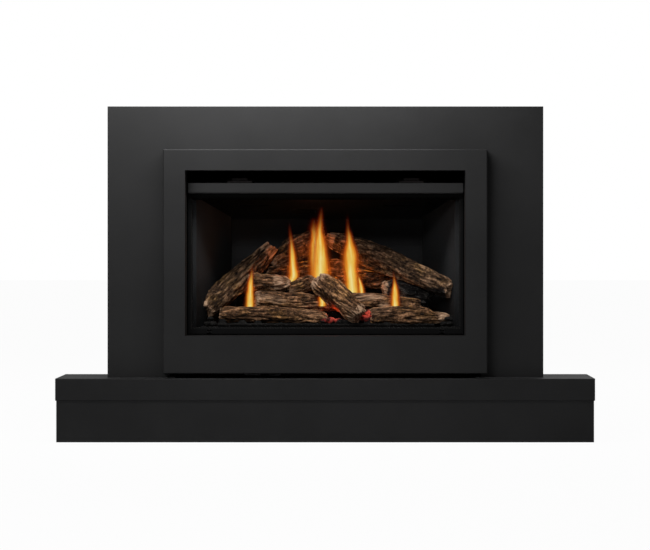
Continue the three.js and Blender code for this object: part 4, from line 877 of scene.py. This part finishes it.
flame("flame_far_left", [
    ([(-200, 190, 330), (-199.5, 190, 360), (-198, 190, 392), (-196, 190, 420), (-193.5, 190, 452)],
     [13, 13.5, 12, 8.5, 3]),
], flame_bright)
flame("flame_left", [
    ([(-106, 254, 381), (-97, 254, 400), (-87, 254, 420), (-89, 254, 450), (-91.5, 254, 486),
      (-94, 254, 520), (-98, 254, 562)], [9, 14, 19, 15, 11, 8, 4]),
], flame_bright)
flame("flame_middle", [
    ([(-14, 236, 380), (-14, 236, 430), (-15, 236, 480), (-17, 236, 525), (-15, 236, 562), (-12, 236, 608)],
     [28, 30, 26, 18, 12, 5]),
    ([(-22, 240, 384), (-23, 240, 430), (-26, 240, 475), (-29, 240, 515), (-32, 240, 545), (-36, 240, 578)],
     [22, 26, 25, 22, 17, 8]),
], flame_bright)
flame("flame_right", [
    ([(71, 238, 366), (68, 238, 400), (65, 238, 432), (64, 238, 460), (63, 238, 484), (61, 238, 506),
      (60, 238, 528), (58, 238, 550), (56, 238, 588)], [22, 23, 24, 27, 25, 16, 11.5, 8, 4]),
    ([(94, 234, 366), (91, 234, 396), (83, 234, 430)], [9, 8, 2]),
], flame_bright)
flame("flame_far_right", [
    ([(181, 176, 322), (181, 176, 350), (180.5, 176, 382), (178.5, 176, 406), (175.5, 176, 437)],
     [13.5, 14, 11.5, 7, 3]),
], flame_bright)
flame("flame_between_logs", [
    ([(-10, 178, 341), (-10, 178, 352), (-12, 178, 366), (-15, 178, 384)], [11, 13, 11, 3]),
], flame_bright)
flame("flame_licks", [
    ([(80, 255, 434), (96, 255, 436), (117, 255, 432), (140, 255, 430)], [4, 5, 4, 1]),
    ([(84, 255, 422), (96, 255, 423), (108, 255, 420)], [3, 3.5, 1]),
    ([(-50, 255, 457), (-60, 255, 458), (-74, 255, 453)], [3.5, 4, 1]),
    ([(-50, 255, 445), (-59, 255, 447), (-72, 255, 443)], [3, 3.5, 1]),
    ([(14, 255, 417), (23, 255, 417), (33, 255, 412)], [3, 4, 1]),
], flame_lick)


# ------------------------------------------------------------------ small fasteners
HEAD_RADIUS, FLANGE_RADIUS = 4.0, 6.0
FLANGE_TOP, HEAD_TOP = 0.9, 3.2


def hex_screws(name, places):
    """Flanged hex-head sheet screws, each set on its face with its head standing out."""
    shape = bmesh.new()
    for x, depth, z, axis in places:
        direction = Vector(axis)
        turn = Vector((0, 0, 1)).rotation_difference(direction).to_matrix()
        for sides, radius, low, high in (
            (20, FLANGE_RADIUS, 0.0, FLANGE_TOP), (6, HEAD_RADIUS, FLANGE_TOP, HEAD_TOP),
        ):
            made = bmesh.ops.create_cone(
                shape, cap_ends=True, segments=sides, radius1=radius * MM, radius2=radius * MM * 0.97,
                depth=(high - low) * MM,
            )["verts"]
            bmesh.ops.translate(shape, verts=made, vec=(0, 0, (high + low) / 2 * MM))
            bmesh.ops.rotate(shape, verts=made, cent=(0, 0, 0), matrix=turn)
            bmesh.ops.translate(shape, verts=made, vec=spot(x, depth, z))
    return link_piece(name, mesh_of(shape, name), "insert_body", galvanised)


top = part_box("casing_top")[1][2] / MM
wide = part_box("casing_wrap")[1][0] / MM
lid_screws = [(x, depth, top, (0, 0, 1)) for x in (-360, -180, 180, 360) for depth in (90, 455)]
side_screws = [(s * wide, 78, z, (s, 0, 0)) for s in (-1, 1) for z in (260, 440, 640)]
back = (wrap_high[1] - riser_front) / MM
foot = wrap_low[2] / MM
back_screws = [(x, back, z, (0, 1, 0)) for x in (-350, -175, 0, 175, 350) for z in (foot + 12, top - 12)]
plate_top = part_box("flue_plate")[1][2] / MM
plate_screws = [(x, depth, plate_top, (0, 0, 1)) for x in (-118, 118) for depth in (247, 353)]
hex_screws("casing_screws", lid_screws + side_screws + back_screws)
hex_screws("flue_plate_screws", plate_screws)


# ------------------------------------------------------------------ studio
GLOSSY_SHARE = 0.3  # how much of the white backdrop a glossy surface mirrors
WHITE_FLOOR_SHARE = 0.97  # the rest of the floor takes the object's shadow
ROOM_LIGHT = 0.06


def seen_rays(tree):
    """1 for rays from the camera and through glass, and GLOSSY_SHARE for mirrored ones."""
    path = add_node(tree, "ShaderNodeLightPath").outputs
    straight = sums(tree, "MAXIMUM", path["Is Camera Ray"], path["Is Transmission Ray"])
    return sums(tree, "MAXIMUM", straight, sums(tree, "MULTIPLY", path["Is Glossy Ray"], GLOSSY_SHARE))


def floor_finish():
    material = bpy.data.materials.new("studio floor")
    material.use_nodes = True
    tree = material.node_tree
    tree.nodes.clear()
    matt = add_node(tree, "ShaderNodeBsdfDiffuse", {"Color": (0.6, 0.6, 0.6, 1)})
    white = add_node(tree, "ShaderNodeEmission", {"Color": (1, 1, 1, 1), "Strength": 1.0})
    share = sums(tree, "MULTIPLY", seen_rays(tree), WHITE_FLOOR_SHARE)
    mix = add_node(tree, "ShaderNodeMixShader", {0: share, 1: matt.outputs[0], 2: white.outputs[0]})
    add_node(tree, "ShaderNodeOutputMaterial", {"Surface": mix.outputs[0]})
    return material


shape = bmesh.new()
bmesh.ops.create_grid(shape, x_segments=1, y_segments=1, size=30.0)
floor = bpy.data.objects.new("studio_floor", mesh_of(shape, "studio_floor"))
floor.data.materials.append(floor_finish())
scene.collection.objects.link(floor)


def studio_world():
    world = bpy.data.worlds.new("studio")
    scene.world = world
    world.use_nodes = True
    tree = world.node_tree
    tree.nodes.clear()
    room, white = (
        add_node(tree, "ShaderNodeBackground", {"Color": (1, 1, 1, 1), "Strength": strength}).outputs[0]
        for strength in (ROOM_LIGHT, 1.0)
    )
    mix = add_node(tree, "ShaderNodeMixShader", {0: seen_rays(tree), 1: room, 2: white})
    add_node(tree, "ShaderNodeOutputWorld", {"Surface": mix.outputs[0]})


def place_lamp(name, lamp, watts, colour, place):
    lamp.energy = watts
    lamp.color = colour
    holder = bpy.data.objects.new(name, lamp)
    holder.location = place
    scene.collection.objects.link(holder)
    return holder


def soft_box(name, place, aim, size, watts):
    """A white panel lamp; places in metres, with y measured from the riser's front."""
    place, aim = (Vector((x, riser_front + y, z)) for x, y, z in (place, aim))
    lamp = bpy.data.lights.new(name, "AREA")
    lamp.shape = "RECTANGLE"
    lamp.size, lamp.size_y = size
    holder = place_lamp(name, lamp, watts, (1, 1, 1), place)
    holder.rotation_euler = (aim - place).to_track_quat("-Z", "Y").to_euler()


def fire_lamp(name, place, watts, radius=8, colour=(1.0, 0.3, 0.06)):
    """The light that a flame or a coal throws on what is round it."""
    lamp = bpy.data.lights.new(name, "POINT")
    lamp.shadow_soft_size = radius * MM
    place_lamp(name, lamp, watts, colour, spot(*place))


studio_world()
for name, place, aim, size, watts in (
    ("strip_over_surround", (-0.15, -0.32, 1.15), (-0.12, 0.06, 0.8), (0.9, 0.12), 12.0),
    ("front_left", (-0.95, -3.0, 1.80), (0.0, 0.0, 0.45), (1.4, 0.4), 39.0),
    ("behind_right", (1.8, 2.6, 2.6), (0.0, 0.3, 0.45), (1.6, 1.2), 40.0),
    ("behind_left", (-2.2, 2.4, 2.0), (0.0, 0.3, 0.45), (1.2, 1.2), 22.0),
):
    soft_box(name, place, aim, size, watts)
for name, place, watts in (
    ("fire_far_left", (-196, 202, 372), 0.013),
    ("fire_left", (-92, 258, 440), 0.12),
    ("fire_left_high", (-66, 250, 480), 0.025),
    ("fire_middle_low", (-14, 254, 430), 0.16),
    ("fire_middle_high", (-34, 246, 500), 0.12),
    ("fire_right_low", (68, 252, 425), 0.16),
    ("fire_right_high", (40, 232, 480), 0.12),
    ("fire_right_foot", (90, 228, 378), 0.06),
    ("fire_far_right", (180, 184, 366), 0.03),
    ("fire_between", (-12, 184, 358), 0.03),
):
    fire_lamp(name, place, watts)
fire_lamp("ember_light", (20, 162, 330), 0.03, colour=(1.0, 0.12, 0.04))
fire_lamp("ember_light_right", (118, 150, 322), 0.01, colour=(1.0, 0.16, 0.07))
fire_lamp("ceiling_glow", (-50, 190, 590), 0.005, 20, (1.0, 0.3, 0.17))


# ------------------------------------------------------------------ camera
# The place, lens and shift fit the riser's corners and the trim's edges in the photograph.
PHOTO_WIDTH = 650
SHIFT_RIGHT, SHIFT_UP = -31.6, -27.0  # pixels
CAMERA_X, CAMERA_DISTANCE, CAMERA_HEIGHT = 0.080, 6.0, 0.494
lens = bpy.data.cameras.new("camera")
lens.lens, lens.sensor_width = 130.83, 36.0
lens.shift_x = SHIFT_RIGHT / PHOTO_WIDTH
lens.shift_y = SHIFT_UP / PHOTO_WIDTH
lens.dof.use_dof = False
camera = bpy.data.objects.new("camera", lens)
camera.location = (CAMERA_X, riser_front - CAMERA_DISTANCE, CAMERA_HEIGHT)
camera.rotation_euler = (math.pi / 2, 0.0, 0.0)
scene.collection.objects.link(camera)
scene.camera = camera
